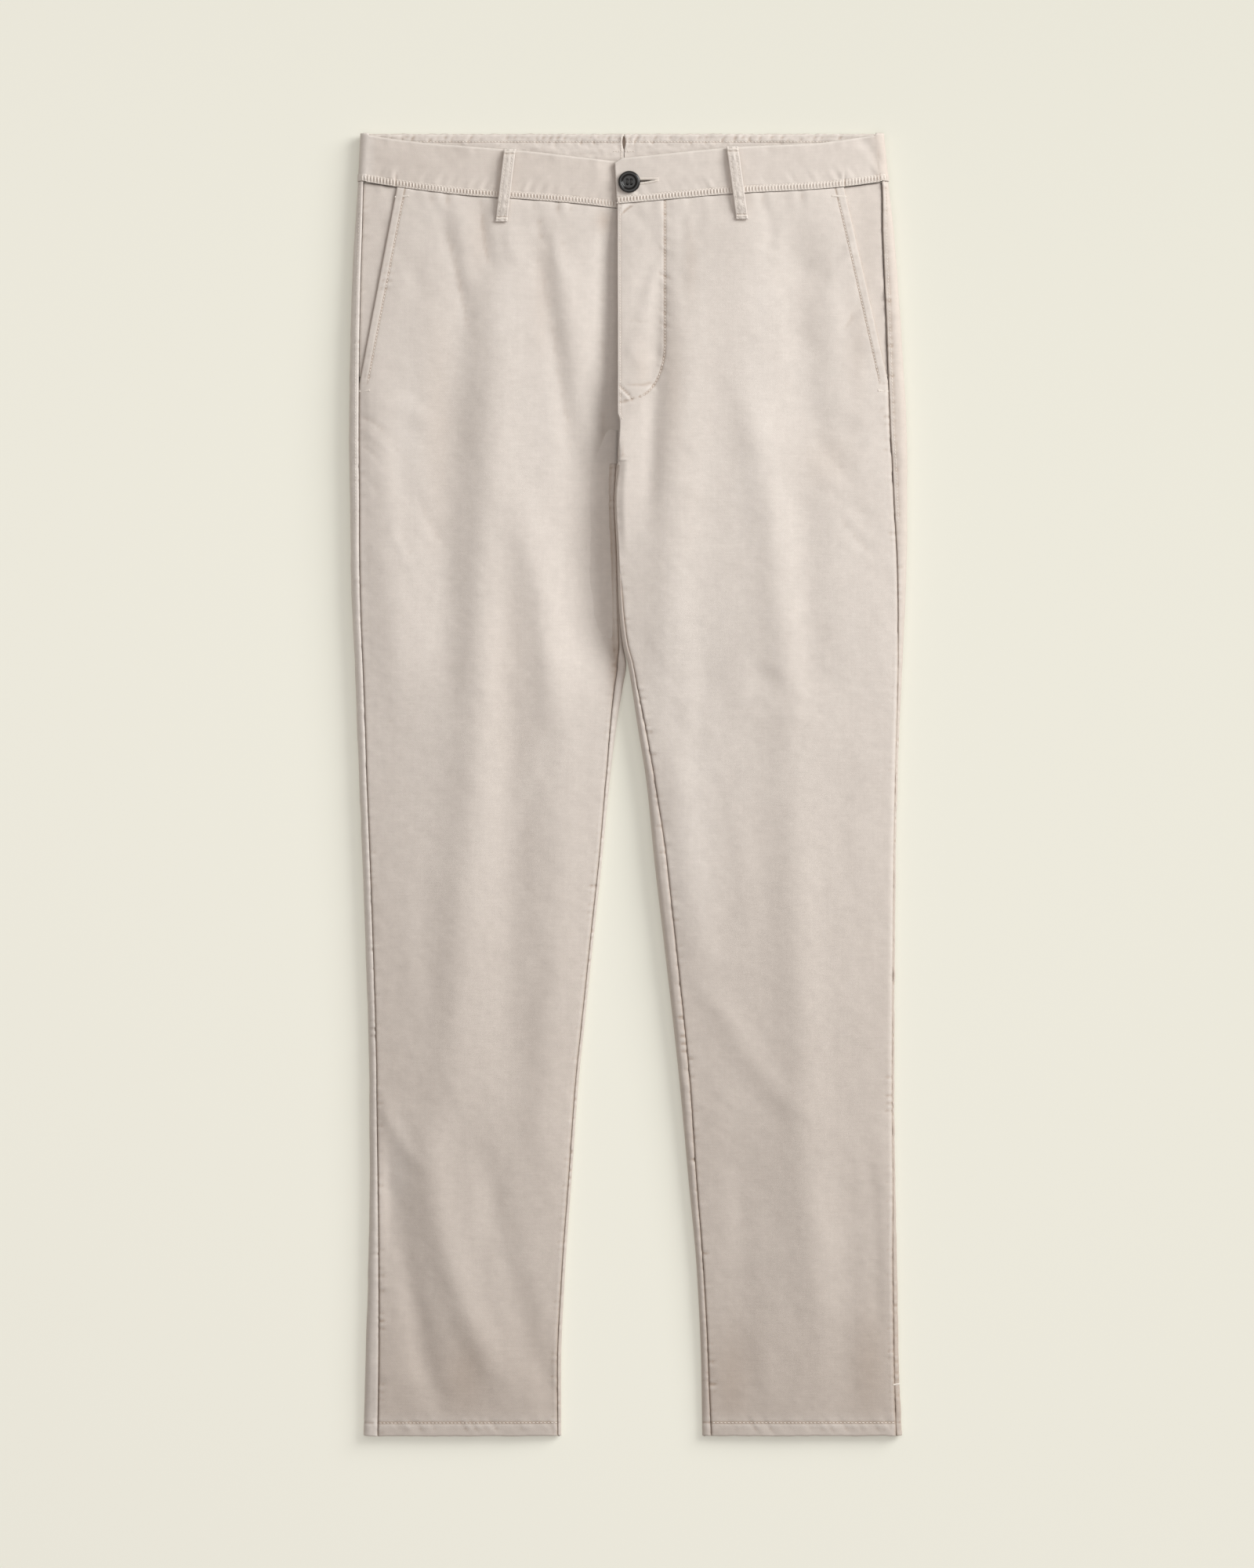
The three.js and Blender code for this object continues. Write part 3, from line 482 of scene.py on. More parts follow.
def fly_edge_x(y):
    """The J-shaped stitching of the fly: straight down, then curving in to the fly's edge."""
    t = np.clip((FLY_CURVE_Y - y) / (FLY_CURVE_Y - FLY_END[1]), 0, 1)
    return FLY_END[0] + (FLY_STITCH_X - FLY_END[0]) * np.sqrt(np.clip(1 - t**2.2, 0, 1))


def seam_detail(distance, along, depth, pucker, seed):
    """A sewn seam: the cloth dips into it, and small puckers cross it."""
    broad = 0.8 * PUCKER((along + 0.4 * distance) / 7.5 + seed, 3.5)
    ripple = PUCKER(along / 3.1 + seed, distance / 14) + broad
    busy = 0.55 + 0.9 * smooth(-0.2, 0.7, PUCKER(along / 26 + seed, 0.5))
    return -depth * bell(distance, 1.0) + 1.7 * pucker * busy * ripple * bell(distance, 6)


def hem_detail(x, y, seed):
    """The turned-up hem: a doubled band with a stitched groove and a folded lower edge."""
    up = y - HEM_Y
    band = 0.35 * smooth(HEM_FOLD + 1.2, HEM_FOLD - 0.8, up)
    groove = -0.45 * bell(up - HEM_FOLD, 0.9)
    ripple = 0.5 * PUCKER((x + 0.7 * up) / 4.2 + seed, 3.5) * bell(up - HEM_FOLD * 0.8, 6)
    wave = 0.35 * PUCKER(x / 12.0 + seed, 8.5) * smooth(26, 4, up)
    edge = -0.9 * (1 - np.sqrt(1 - np.clip(1 - up / 1.1, 0, 1) ** 2))
    return band + groove + ripple + wave + edge


def hem_wave(x, y):
    """The lower edge runs slightly uneven."""
    uneven = 0.4 * PUCKER(x / 11.0 + 5, 1.5) + 0.25 * PUCKER(x / 4.0 + 9, 2.5)
    return uneven * smooth(HEM_Y + 7, HEM_Y, y)


def front_point(leg, path, y):
    """A point of the front panel's surface, with its seams, hem and creases."""
    s = leg.section(y)
    begin, end = leg.front_limits(s, y)
    x = leg.top_x(s, path)
    real_y = leg.row_y(x, y)
    z = leg.top_height(x, real_y) + leg.rumple(x, real_y)
    from_out, from_in = path - begin, end - path
    seed = 30 * (leg.side + 2)

    mouth = smooth(POCKET_TIP_Y, POCKET_TIP_Y + 6, y)
    z = z + (1 - mouth) * seam_detail(from_out, y, 0.65, 0.2, seed)
    ridge = 0.3 * smooth(POCKET_STITCH + 0.7, POCKET_STITCH - 0.5, from_out)
    ridge = ridge - 0.4 * bell(from_out - POCKET_STITCH, 0.7) - 0.5 * bell(from_out, 0.6)
    ripple = 0.32 * PUCKER(y / 3.4 + seed, 5.5) * bell(from_out - POCKET_STITCH, 4.5)
    z = z + mouth * (ridge + ripple)

    over_crotch = smooth(CROTCH_Y, CROTCH_Y + 3, y)
    z = z + (1 - over_crotch) * seam_detail(from_in, y, 0.6, 0.24, seed + 9)
    dip = 0.4 * s.in_high * (1 - roll_rise(np.clip(from_in, 0, 9), np.float64(3.0)))
    z = z - over_crotch * smooth(CROTCH_Y + SEAM_DIP_LENGTH, CROTCH_Y, y) * dip
    if leg.side > 0:
        # The fly: a folded edge with its stitching, and the doubled cloth inside the curve
        fly = over_crotch * smooth(FLY_NOTCH_Y - 4, FLY_NOTCH_Y + 3, real_y)
        lip = 0.3 * smooth(FLY_EDGE_STITCH + 0.4, FLY_EDGE_STITCH - 0.9, from_in)
        z = z + fly * (lip - 0.55 * bell(from_in, 0.6) - 0.3 * bell(from_in - FLY_EDGE_STITCH, 0.7))
        z = z + leg.crease_height(x, real_y, FLY_CREASES)
        inside = fly_edge_x(real_y) - x
        on_fly = smooth(FLY_END[1] - 4, FLY_END[1] + 2, real_y)
        z = z + on_fly * (0.14 * smooth(-0.8, 0.8, inside) - 0.5 * bell(inside, 1.2))
        z = z + on_fly * 0.5 * PUCKER((real_y + 0.5 * x) / 3.4, 2.5) * bell(inside, 5)

    below_waist = leg.seam_y(x) - real_y
    gather = 0.5 * PUCKER(x / 6.5 + seed, real_y / 40) * smooth(20, 1, below_waist)
    z = z + gather - 0.22 * bell(below_waist, 1.2)
    z = z + hem_detail(x, real_y, seed)
    return points_at(x, real_y + hem_wave(x, real_y), z)


LEG_MEET_Y = 100.0
SEAT_TUCK = 10.0
SEAT_RISE = 2.0
SEAT_RISE_LENGTH = 60.0
SEAT_BEND = 120.0


def back_outer_point(leg, path, y):
    """Round the outer fold of a back panel: path is zero at the edge of the outline, then up."""
    s = leg.section(y)
    x_up = leg.top_x(s, np.maximum(path, 0))
    z_up = leg.top_height(x_up, y) + 0.3 * leg.rumple(x_up, y)
    turn = np.clip(-path / s.out_arc, 0, 1) * math.pi / 2
    x_down = s.outer - leg.side * OUTER_ROLL * (1 - np.cos(turn))
    z_down = ground_height(y) + s.out_high / 2 * (1 - np.sin(turn))
    x, z = np.where(path >= 0, x_up, x_down), np.where(path >= 0, z_up, z_down)
    seam = seam_path(s.outseam, OUTER_ROLL, s.out_arc) - SEAM_GAP / 2
    distance = seam - path
    seed = 70 * (leg.side + 2)
    lift = seam_detail(distance, y, 0.55, 0.24, seed)
    stitched = smooth(OUTSEAM_STITCH_END_Y - 2, OUTSEAM_STITCH_END_Y + 2, y)
    lift = lift + stitched * (0.25 * smooth(3.6, 2.4, distance) - 0.25 * bell(distance - OUTSEAM_STITCH, 0.6))
    lift = lift + 0.25 * CRINKLE(y / 13 + seed, path / 9) * smooth(-s.out_arc * 0.6, 2, path)
    lift = (lift + hem_detail(x, y, seed) * smooth(-6, 4, path)) * smooth(-s.out_arc * 0.9, -3, path)
    out = np.cos(np.clip(path / s.out_arc, -1, 1) * math.pi / 2)
    up = np.sin(np.clip(path / s.out_arc, -1, 1) * math.pi / 2)
    x = x + leg.side * lift * out
    return points_at(x, y + hem_wave(x, y), z + lift * np.abs(up))


def back_inner_point(leg, path, y):
    """Round the inner fold of a leg: path is zero at the edge of the outline, then up."""
    s = leg.section(y)
    x_up = leg.top_x(s, s.top_path - np.maximum(path, 0))
    z_up = leg.top_height(x_up, y)
    turn = np.clip(-path / np.where(s.in_arc > 0, s.in_arc, 1), 0, 1) * math.pi / 2
    x_down = s.inner + leg.side * s.in_roll * (1 - np.cos(turn))
    z_down = ground_height(y) + s.in_high / 2 * (1 - np.sin(turn))
    x, z = np.where(path >= 0, x_up, x_down), np.where(path >= 0, z_up, z_down)
    seam = seam_path(s.inseam, s.in_roll, s.in_arc) - SEAM_GAP / 2
    seed = 110 * (leg.side + 2)
    lift = seam_detail(seam - path, y, 0.55, 0.26, seed)
    lift = lift + 0.3 * CRINKLE(y / 11 + seed, path / 9) * smooth(-s.in_arc * 0.6, 2, path)
    lift = (lift + hem_detail(x, y, seed) * smooth(-5, 3, path)) * smooth(-s.in_arc * 0.9, -2, path)
    lift = lift * smooth(LEG_MEET_Y + 10, LEG_MEET_Y - 30, y)
    return points_at(x, y + hem_wave(x, y), z + lift)


def seat_point(leg, distance, y):
    """The back beside the seat seam, which climbs towards the crotch."""
    straight = BACK_CENTRE_X + leg.side * SEAM_GAP / 2
    seam = lerp(leg.section(CROTCH_Y).inner, straight, smooth(CROTCH_Y, CROTCH_Y + SEAT_BEND, y))
    rise = SEAT_RISE * smooth(CROTCH_Y + SEAT_RISE_LENGTH, CROTCH_Y, y)
    near = np.clip(1 - distance / SEAT_TUCK, 0, 1)
    z = ground_height(y) + rise * near**2
    return points_at(seam + leg.side * distance, y, z)


# Meshes


def grid_faces(rows, columns, offset=0):
    i, j = np.meshgrid(np.arange(rows - 1), np.arange(columns - 1), indexing="ij")
    a = (i * columns + j).ravel() + offset
    return np.stack([a, a + 1, a + columns + 1, a + columns], axis=1)


def strip_faces(fine, coarse):
    """Faces between an edge with many points and one with few that runs along it."""
    faces = []
    share = (len(fine) - 1) / (len(coarse) - 1)
    for k in range(len(coarse) - 1):
        low, high = round(k * share), round((k + 1) * share)
        middle = (low + high) // 2
        faces += [(fine[i], fine[i + 1], coarse[k]) for i in range(low, middle)]
        faces += [(fine[i], fine[i + 1], coarse[k + 1]) for i in range(middle, high)]
        faces.append((fine[middle], coarse[k + 1], coarse[k]))
    return faces


def make_mesh(name, points, quads, triangles, material, wear_and_painted_light=None):
    mesh = bpy.data.meshes.new(name)
    faces = [*map(tuple, np.asarray(quads).tolist()), *map(tuple, triangles)]
    mesh.from_pydata((np.asarray(points) * MM).tolist(), [], faces)
    mesh.polygons.foreach_set("use_smooth", np.ones(len(faces), bool))
    mesh.update()
    # A value at each point that the cloth's colour takes up: lighter for wear and painted light, darker for
    # painted shade
    if wear_and_painted_light is not None:
        mesh.attributes.new("wear_and_painted_light", "FLOAT", "POINT").data.foreach_set("value", wear_and_painted_light)
    piece = bpy.data.objects.new(name, mesh)
    bpy.context.scene.collection.objects.link(piece)
    mesh.materials.append(material)
    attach(piece, "root")
    return piece


def normals_of(points):
    """Outward directions of a grid of points, from its rows and columns."""
    along_row = np.gradient(points, axis=1)
    along_column = np.gradient(points, axis=0)
    normal = np.cross(along_row, along_column)
    return normal / np.maximum(np.linalg.norm(normal, axis=-1, keepdims=True), 1e-9)


WEAR_AND_SHADE_HEIGHT = 0.16
WEAR_AND_SHADE_NEAR = 2  # rows and columns looked at round each point
WEAR_AND_SHADE_WIDE = 4
WEAR_AND_SHADE_STARTS = 0.25
WEAR_LIGHT = 0.1
# How much painted shade darkens the grooves
PAINTED_GROOVE_SHADE = 0.3
# Painted shade near the hems
HEM_PAINTED_SHADE = 0.06
HEM_FADE = 0.07  # the stitched hem itself is lighter
# Painted shade that darkens the legs from the thigh down
LEG_PAINTED_SHADE = 0.11
# Painted shade along the seams, where the gap between the panels lies in shadow
SEAM_PAINTED_SHADE = 0.24
# Painted shade along the stitched lines
STITCH_PAINTED_SHADE = 0.2
# Soft patches of painted light and shade on each front: x, y, reach across and along, how much lighter or
# darker
PAINTED_LIGHT_AND_SHADE_PATCHES = {
    -1: (
        (-157, 300, 13, 90, -0.08),
        (-100, 100, 22, 100, -0.05),
        (-71, 405, 7, 45, -0.08),
        (-100, 400, 13, 60, 0.05),
        (-184, 290, 10, 50, 0.07),
        (-30, 165, 6, 50, 0.05),
        (-122, 455, 8, 26, -0.08),
        (-75, 300, 14, 50, 0.05),
        # Painted shadow in the valley beside the fly, where the left front stands over the right
        (-20, 466, 7, 9, -0.2),
        (-18, 262, 6, 40, -0.2),
        (-14, 195, 5.5, 40, -0.28),
        (-9, 100, 5.5, 34, -0.3),
        (-190, -320, 12, 35, 0.08),
        (-135, -490, 16, 30, -0.09),
    ),
    1: (
        (35, 80, 45, 80, 0.06),
        (100, 245, 12, 45, 0.06),
        (12, 345, 8, 22, -0.07),
        (52, 430, 5, 30, -0.08),
        (45, -60, 26, 70, 0.08),
        (108, 370, 14, 90, 0.06),
        (165, 268, 20, 22, -0.08),
        (38, 335, 8, 50, -0.08),
        (190, 360, 9, 40, -0.06),
        (86, -490, 14, 40, -0.08),
        (200, -480, 14, 50, -0.08),
    ),
}
# Painted light round the right leg's outer fold, which faces away from the key light, and painted shade round
# the left's, which faces it
SIDE_PAINTED_LIGHT_AND_SHADE = {-1: 0.18, 1: -0.12}  # how much lighter or darker the cloth is round each outer fold
FACING_TONE = {-1: -0.03, 1: -0.05}
BAND_TONE = {-1: -0.07, 1: -0.02}


def around(outer, reach):
    """The mean of each point's neighbours within reach rows and columns."""
    padded = np.pad(outer, ((reach, reach), (reach, reach), (0, 0)), mode="edge")
    rows, columns = outer.shape[:2]
    across = sum(padded[:, j : j + columns] for j in range(2 * reach + 1)) / (2 * reach + 1)
    return sum(across[i : i + rows] for i in range(2 * reach + 1)) / (2 * reach + 1)


def wear_and_painted_shade(outer, normal):
    """How much lighter or darker each point is: ridges and edges fade with wear, grooves get painted shade,
    and the legs get painted shade towards the hems, where the stitched hem band is lighter.
    """
    near, wide = ((outer - around(outer, reach)) * normal for reach in (WEAR_AND_SHADE_NEAR, WEAR_AND_SHADE_WIDE))
    near_points, wide_points = ((2 * reach + 1) ** 2 - 1 for reach in (WEAR_AND_SHADE_NEAR, WEAR_AND_SHADE_WIDE))
    # What the wider surroundings also do is a broad fold, which gets neither wear nor painted shade
    stands_out = (near - wide * near_points / wide_points).sum(axis=-1) / WEAR_AND_SHADE_HEIGHT
    edge = np.clip(stands_out - WEAR_AND_SHADE_STARTS, 0, 1)
    # Painted shade in the grooves
    groove = np.clip(stands_out + WEAR_AND_SHADE_STARTS, -1, 0)
    y = outer[..., 1]
    even = smooth(1.5, 6, np.abs(y - CROTCH_Y))
    # Painted shade: darker from the thigh down, and darker still near the hems
    low = LEG_PAINTED_SHADE * smooth(200, -350, y) + HEM_PAINTED_SHADE * smooth(HEM_Y + 160, HEM_Y + 40, y)
    low = low - HEM_FADE * smooth(HEM_Y + 24, HEM_Y + 9, y)
    return even * (WEAR_LIGHT * edge + PAINTED_GROOVE_SHADE * groove) - low


def coarse_indices(count, step):
    return np.unique(np.round(np.linspace(0, count - 1, max(2, (count - 1) // step + 1))).astype(int))


def shell(name, outer, wall, material, flip, step=4, tone=0.0):
    """A closed thin cloth shell: a fine outer face, a coarser inner one and the edges between."""
    rows, columns = outer.shape[:2]
    normal = normals_of(outer) * (-1 if flip else 1)
    wall = np.broadcast_to(wall, (rows, columns))
    ri, ci = coarse_indices(rows, step), coarse_indices(columns, step)
    behind = outer - normal * wall[..., None]
    inner = behind[np.ix_(ri, ci)]
    start = rows * columns
    fine = np.arange(start).reshape(rows, columns)
    coarse = start + np.arange(len(ri) * len(ci)).reshape(len(ri), len(ci))
    outer_quads = grid_faces(rows, columns)
    inner_quads = grid_faces(len(ri), len(ci), start)[:, ::-1]
    triangles = []
    for line, few, back in (
        (fine[0], coarse[0], True),
        (fine[-1], coarse[-1], False),
        (fine[:, 0], coarse[:, 0], False),
        (fine[:, -1], coarse[:, -1], True),
    ):
        triangles += [t[::-1] if back else t for t in strip_faces(line.tolist(), few.tolist())]
    if flip:
        outer_quads, inner_quads = outer_quads[:, ::-1], inner_quads[:, ::-1]
        triangles = [t[::-1] for t in triangles]
    points = np.concatenate([outer.reshape(-1, 3), inner.reshape(-1, 3)])
    wear_and_painted_light = (wear_and_painted_shade(outer, normal) + tone).ravel()
    wear_and_painted_light = np.concatenate([wear_and_painted_light, wear_and_painted_shade(behind, -normal)[np.ix_(ri, ci)].ravel()])
    return make_mesh(name, points, np.concatenate([outer_quads, inner_quads]), triangles, material, wear_and_painted_light)


# Materials


def new_material(name, colour, roughness, **sockets):
    material = bpy.data.materials.new(name)
    material.use_nodes = True
    shader = material.node_tree.nodes["Principled BSDF"]
    shader.inputs["Base Color"].default_value = (*colour, 1)
    shader.inputs["Roughness"].default_value = roughness
    for socket, value in sockets.items():
        shader.inputs[socket.replace("_", " ")].default_value = value
    return material, material.node_tree, shader


def add_node(tree, kind, **values):
    node = tree.nodes.new(kind)
    for key, value in values.items():
        if key.startswith("in_"):
            node.inputs[key[3:].replace("_", " ")].default_value = value
        else:
            setattr(node, key, value)
    return node


def scaled_noise(tree, place, scale, noise_scale, detail=2.0, rough=0.5):
    """Noise over the garment, stretched by a scale for each axis."""
    mapping = add_node(tree, "ShaderNodeMapping", in_Scale=scale)
    noise = add_node(tree, "ShaderNodeTexNoise", in_Scale=noise_scale, in_Detail=detail, in_Roughness=rough)
    tree.links.new(place, mapping.inputs["Vector"])
    tree.links.new(mapping.outputs["Vector"], noise.inputs["Vector"])
    return noise.outputs["Fac"]


def ramp(tree, value, stops):
    node = add_node(tree, "ShaderNodeValToRGB")
    band = node.color_ramp
    while len(band.elements) < len(stops):
        band.elements.new(0.5)
    for element, (position, colour) in zip(band.elements, stops):
        element.position = position
        element.color = (*colour, 1)
    tree.links.new(value, node.inputs["Fac"])
    return node.outputs["Color"]


def mix(tree, kind, share, first, second):
    node = add_node(tree, "ShaderNodeMix", data_type="RGBA", blend_type=kind)
    for socket, value in (("Factor", share), ("A", first), ("B", second)):
        same_name = (s for s in node.inputs if s.name == socket and s.enabled)
        target = next(s for s in same_name if s.type in ("VALUE", "RGBA"))
        if hasattr(value, "is_linked"):
            tree.links.new(value, target)
        elif socket == "Factor":
            target.default_value = value
        else:
            target.default_value = (*value, 1)
    return next(s for s in node.outputs if s.type == "RGBA" and s.enabled)


def math_node(tree, operation, first, second=0.0):
    node = add_node(tree, "ShaderNodeMath", operation=operation)
    for index, value in enumerate((first, second)):
        if hasattr(value, "is_linked"):
            tree.links.new(value, node.inputs[index])
        else:
            node.inputs[index].default_value = value
    return node.outputs["Value"]


TWILL_WAVE = 2 * math.pi / (20 * 0.0009)  # ribs 0.9 mm apart


def twill(name, colour, weave=1.0):
    """Brushed cotton twill: diagonal weave, slubs across, a mottled worn surface, the mesh's wear and painted
    light and shade, and a soft nap.
    """
    material, tree, shader = new_material(name, colour, 0.88, Sheen_Weight=0.18, Sheen_Roughness=0.55)
    shader.inputs["Sheen Tint"].default_value = (1, 0.96, 0.92, 1)
    shader.inputs["Specular IOR Level"].default_value = 0.25
    place = add_node(tree, "ShaderNodeTexCoord").outputs["Object"]
    mottle = scaled_noise(tree, place, (1, 1, 1), 130, 6, 0.65)
    cloud = scaled_noise(tree, place, (1, 0.7, 1), 34, 4, 0.6)
    slub = scaled_noise(tree, place, (60, 900, 60), 1.0, 3, 0.6)
    streak = scaled_noise(tree, place, (420, 26, 60), 1.0, 3, 0.55)
    fibre = scaled_noise(tree, place, (1, 1, 1), 2600, 3, 0.7)

    def shade(amount):
        return tuple(c * amount for c in colour)

    base = ramp(tree, mottle, ((0.3, shade(0.96)), (0.7, shade(1.04))))
    for value, low, dark, high, light in (
        (cloud, 0.3, (0.975, 0.97, 0.968), 0.7, (1.02,) * 3),
        (slub, 0.32, (0.98,) * 3, 0.68, (1.015,) * 3),
        (streak, 0.3, (0.985,) * 3, 0.7, (1.012,) * 3),
        (fibre, 0.25, (0.93,) * 3, 0.75, (1.05,) * 3),
    ):
        base = mix(tree, "MULTIPLY", 1.0, base, ramp(tree, value, ((low, dark), (high, light))))
    # The mesh's value of wear and painted light and shade: its low end is darker and warmer, a painted shade
    # that stands in for shaded cloth
    wear_and_painted_light = add_node(tree, "ShaderNodeAttribute", attribute_name="wear_and_painted_light").outputs["Fac"]
    wear_and_painted_light = math_node(tree, "ADD", math_node(tree, "MULTIPLY", wear_and_painted_light, 5 / 3), 2 / 3)
    stops = ((0.0, (0.67, 0.595, 0.535)), (2 / 3, (1, 1, 1)), (1.0, (1.18, 1.2, 1.215)))
    base = mix(tree, "MULTIPLY", 1.0, base, ramp(tree, wear_and_painted_light, stops))
    tree.links.new(base, shader.inputs["Base Color"])

    turned = add_node(tree, "ShaderNodeMapping", in_Rotation=(0, 0, math.radians(28)))
    tree.links.new(place, turned.inputs["Vector"])
    wave = add_node(
        tree, "ShaderNodeTexWave", in_Scale=TWILL_WAVE, in_Distortion=1.6, in_Detail=2.0, in_Detail_Scale=2.0
    )
    tree.links.new(turned.outputs["Vector"], wave.inputs["Vector"])
    height = math_node(tree, "MULTIPLY", wave.outputs["Fac"], 0.5 * weave)
    height = math_node(tree, "ADD", height, math_node(tree, "MULTIPLY", fibre, 0.9))
    height = math_node(tree, "ADD", height, math_node(tree, "MULTIPLY", slub, 0.5))
    bump = add_node(tree, "ShaderNodeBump", in_Strength=0.35, in_Distance=0.00035)
    tree.links.new(height, bump.inputs["Height"])
    tree.links.new(bump.outputs["Normal"], shader.inputs["Normal"])
    return material


TWILL_COLOUR = (0.676, 0.614, 0.563)
CLOTH_MATERIAL = twill("stone_twill", TWILL_COLOUR)
BAND_MATERIAL = twill("stone_twill_band", tuple(c * 1.01 for c in TWILL_COLOUR))
THREAD_MATERIAL = twill("thread", (0.8, 0.735, 0.67), weave=0.3)
DARK_THREAD, _, _ = new_material("button_thread", (0.03, 0.027, 0.025), 0.7)


def button_material():
    material, tree, shader = new_material("black_button", (0.006, 0.0055, 0.0055), 0.22, Coat_Weight=0.2)
    shader.inputs["Coat Roughness"].default_value = 0.12
    place = add_node(tree, "ShaderNodeTexCoord").outputs["Object"]
    cloud = scaled_noise(tree, place, (1, 1, 1), 420, 4, 0.6)
    colour = ramp(tree, cloud, ((0.35, (0.004, 0.0038, 0.0038)), (0.75, (0.013, 0.0115, 0.0105))))
    tree.links.new(colour, shader.inputs["Base Color"])
    tree.links.new(ramp(tree, cloud, ((0.3, (0.16,) * 3), (0.8, (0.3,) * 3))), shader.inputs["Roughness"])
    return material


BUTTON_MATERIAL = button_material()

# Panels

ROW_STEP = 1.6
EDGE_STEP = 1.0
EDGE_BAND = 14.0
FLY_BAND = 44.0
MIDDLE_CELLS = 78

PANEL_Y = np.concatenate(
    [
        HEM_Y + np.array([0, 0.25, 0.6, 1.1, 2.0]),
        np.linspace(HEM_Y + 3.2, CROTCH_Y - 1.2, round((CROTCH_Y - HEM_Y) / ROW_STEP)),
        np.linspace(CROTCH_Y + 0.2, WAIST_SEAM_Y - SEAM_GAP / 2, round((WAIST_SEAM_Y - CROTCH_Y) / ROW_STEP)),
    ]
)


def panel_wall(y):
    return np.where(y < HEM_Y + HEM_FOLD, HEM_WALL, CLOTH)


def edge_and_middle(begin, end, inner_band):
    """Paths across a panel: fine steps in a band along each edge, wider ones between."""
    middle = np.linspace(0, 1, MIDDLE_CELLS + 1)
    left = begin[:, None] + np.arange(0, EDGE_BAND, EDGE_STEP)
    right = end[:, None] - np.arange(0, inner_band, EDGE_STEP)[::-1]
    centre = lerp(begin[:, None] + EDGE_BAND, end[:, None] - inner_band, middle)
    return np.concatenate([left, centre, right], axis=1)


def painted_patches(leg, x, y):
    """The painted light and shade: the sum of the leg's soft lighter and darker patches."""
    patches = PAINTED_LIGHT_AND_SHADE_PATCHES[leg.side]
    return sum(tone * bell(x - px, across) * bell(y - py, along) for px, py, across, along, tone in patches)


def stitched(leg, from_out, x, y):
    """One along the stitched lines of a front panel and zero away from them. It marks where painted shade
    darkens the stitching.
    """
    pocket = bell(from_out - POCKET_STITCH, 0.8) * (y > POCKET_TIP_Y)
    hem = 0.7 * bell(y - HEM_Y - HEM_FOLD, 0.9)
    fly = bell(fly_edge_x(y) - x, 1.1) * smooth(FLY_END[1] - 3, FLY_END[1], y) if leg.side > 0 else 0
    return pocket + hem + fly


def front_panel(leg, name):
    y = PANEL_Y
    s = leg.section(y)
    paths = edge_and_middle(*leg.front_limits(s, y), FLY_BAND if leg.side > 0 else EDGE_BAND)
    outer = front_point(leg, paths, np.repeat(y[:, None], paths.shape[1], axis=1))
    # Painted shade along the seams at the panel's edges
    tone = -SEAM_PAINTED_SHADE * bell(paths - paths[:, :1], 0.9)
    tone = tone - SEAM_PAINTED_SHADE * bell(paths[:, -1:] - paths, 0.9) * (y < CROTCH_Y)[:, None]
    # Soft patches of painted light and shade
    tone = tone + painted_patches(leg, outer[..., 0], outer[..., 1])
    # Painted shade along the stitching
    tone = tone - STITCH_PAINTED_SHADE * stitched(leg, paths - paths[:, :1], outer[..., 0], outer[..., 1])
    return shell(name, outer, panel_wall(y)[:, None], CLOTH_MATERIAL, flip=leg.side > 0, tone=tone)


def back_panel(leg, name):
    y = PANEL_Y
    s = leg.section(y)
    outseam = seam_path(s.outseam, OUTER_ROLL, s.out_arc) - SEAM_GAP / 2
    t = np.linspace(0, 1, 19)
    side_paths = lerp(outseam[:, None], -s.out_arc[:, None], t)
    wide_y = np.repeat(y[:, None], len(t), axis=1)
    side = back_outer_point(leg, side_paths, wide_y)
    t = np.linspace(0, 1, 15)
    wide_y = np.repeat(y[:, None], len(t), axis=1)
    inseam = seam_path(s.inseam, s.in_roll, s.in_arc) - SEAM_GAP / 2
    fold = back_inner_point(leg, lerp(-s.in_arc[:, None], inseam[:, None], t), wide_y)
    seat = seat_point(leg, lerp(SEAT_TUCK, 0, t), wide_y)
    inside = np.where((y < CROTCH_Y)[:, None, None], fold, seat)
    floor = lerp(side[:, -1:], inside[:, :1], np.linspace(0, 1, 12)[None, 1:-1, None])
    outer = np.concatenate([side, floor, inside], axis=1)
    column = np.arange(outer.shape[1])
    # Painted light round the right leg's outer fold, painted shade round the left's
    tone = np.where(column < side.shape[1], SIDE_PAINTED_LIGHT_AND_SHADE[leg.side], 0.0)
    # Painted shade along the seams at both edges
    tone = tone - SEAM_PAINTED_SHADE * ((column == 0) | (column == outer.shape[1] - 1))
    return shell(name, outer, panel_wall(y)[:, None], CLOTH_MATERIAL, flip=leg.side < 0, tone=tone)


# Pieces of the waist

BAND_PROUD = 0.45
RIDGE_PROUD = 0.4
RIDGE_END = 0.15
RIB_PITCH = 2.65
NOTCH_FROM = 0.68
NOTCH_TO = 0.975
NOTCH_HALF = 1.1
RIGHT_BAND_END = 22.0
LEFT_BAND_END = -11.6
LEFT_BAND_LEAN = 2.2
CORNER = 3.0
CORNER_LENGTH = 7.0
BAND_STITCH_LOW = 0.9  # from the waist seam up to the two rows of stitching
BAND_STITCH_HIGH = 5.6
BACK_STITCH = 6.5  # down from the waistband's upper edge, on its inside
PINCHES = {-1: (-192.0,), 1: (179.0,)}


def left_band_end(share):
    """The end of the left waistband, which leans out towards its upper corner."""
    return LEFT_BAND_END + LEFT_BAND_LEAN * (1 - share)


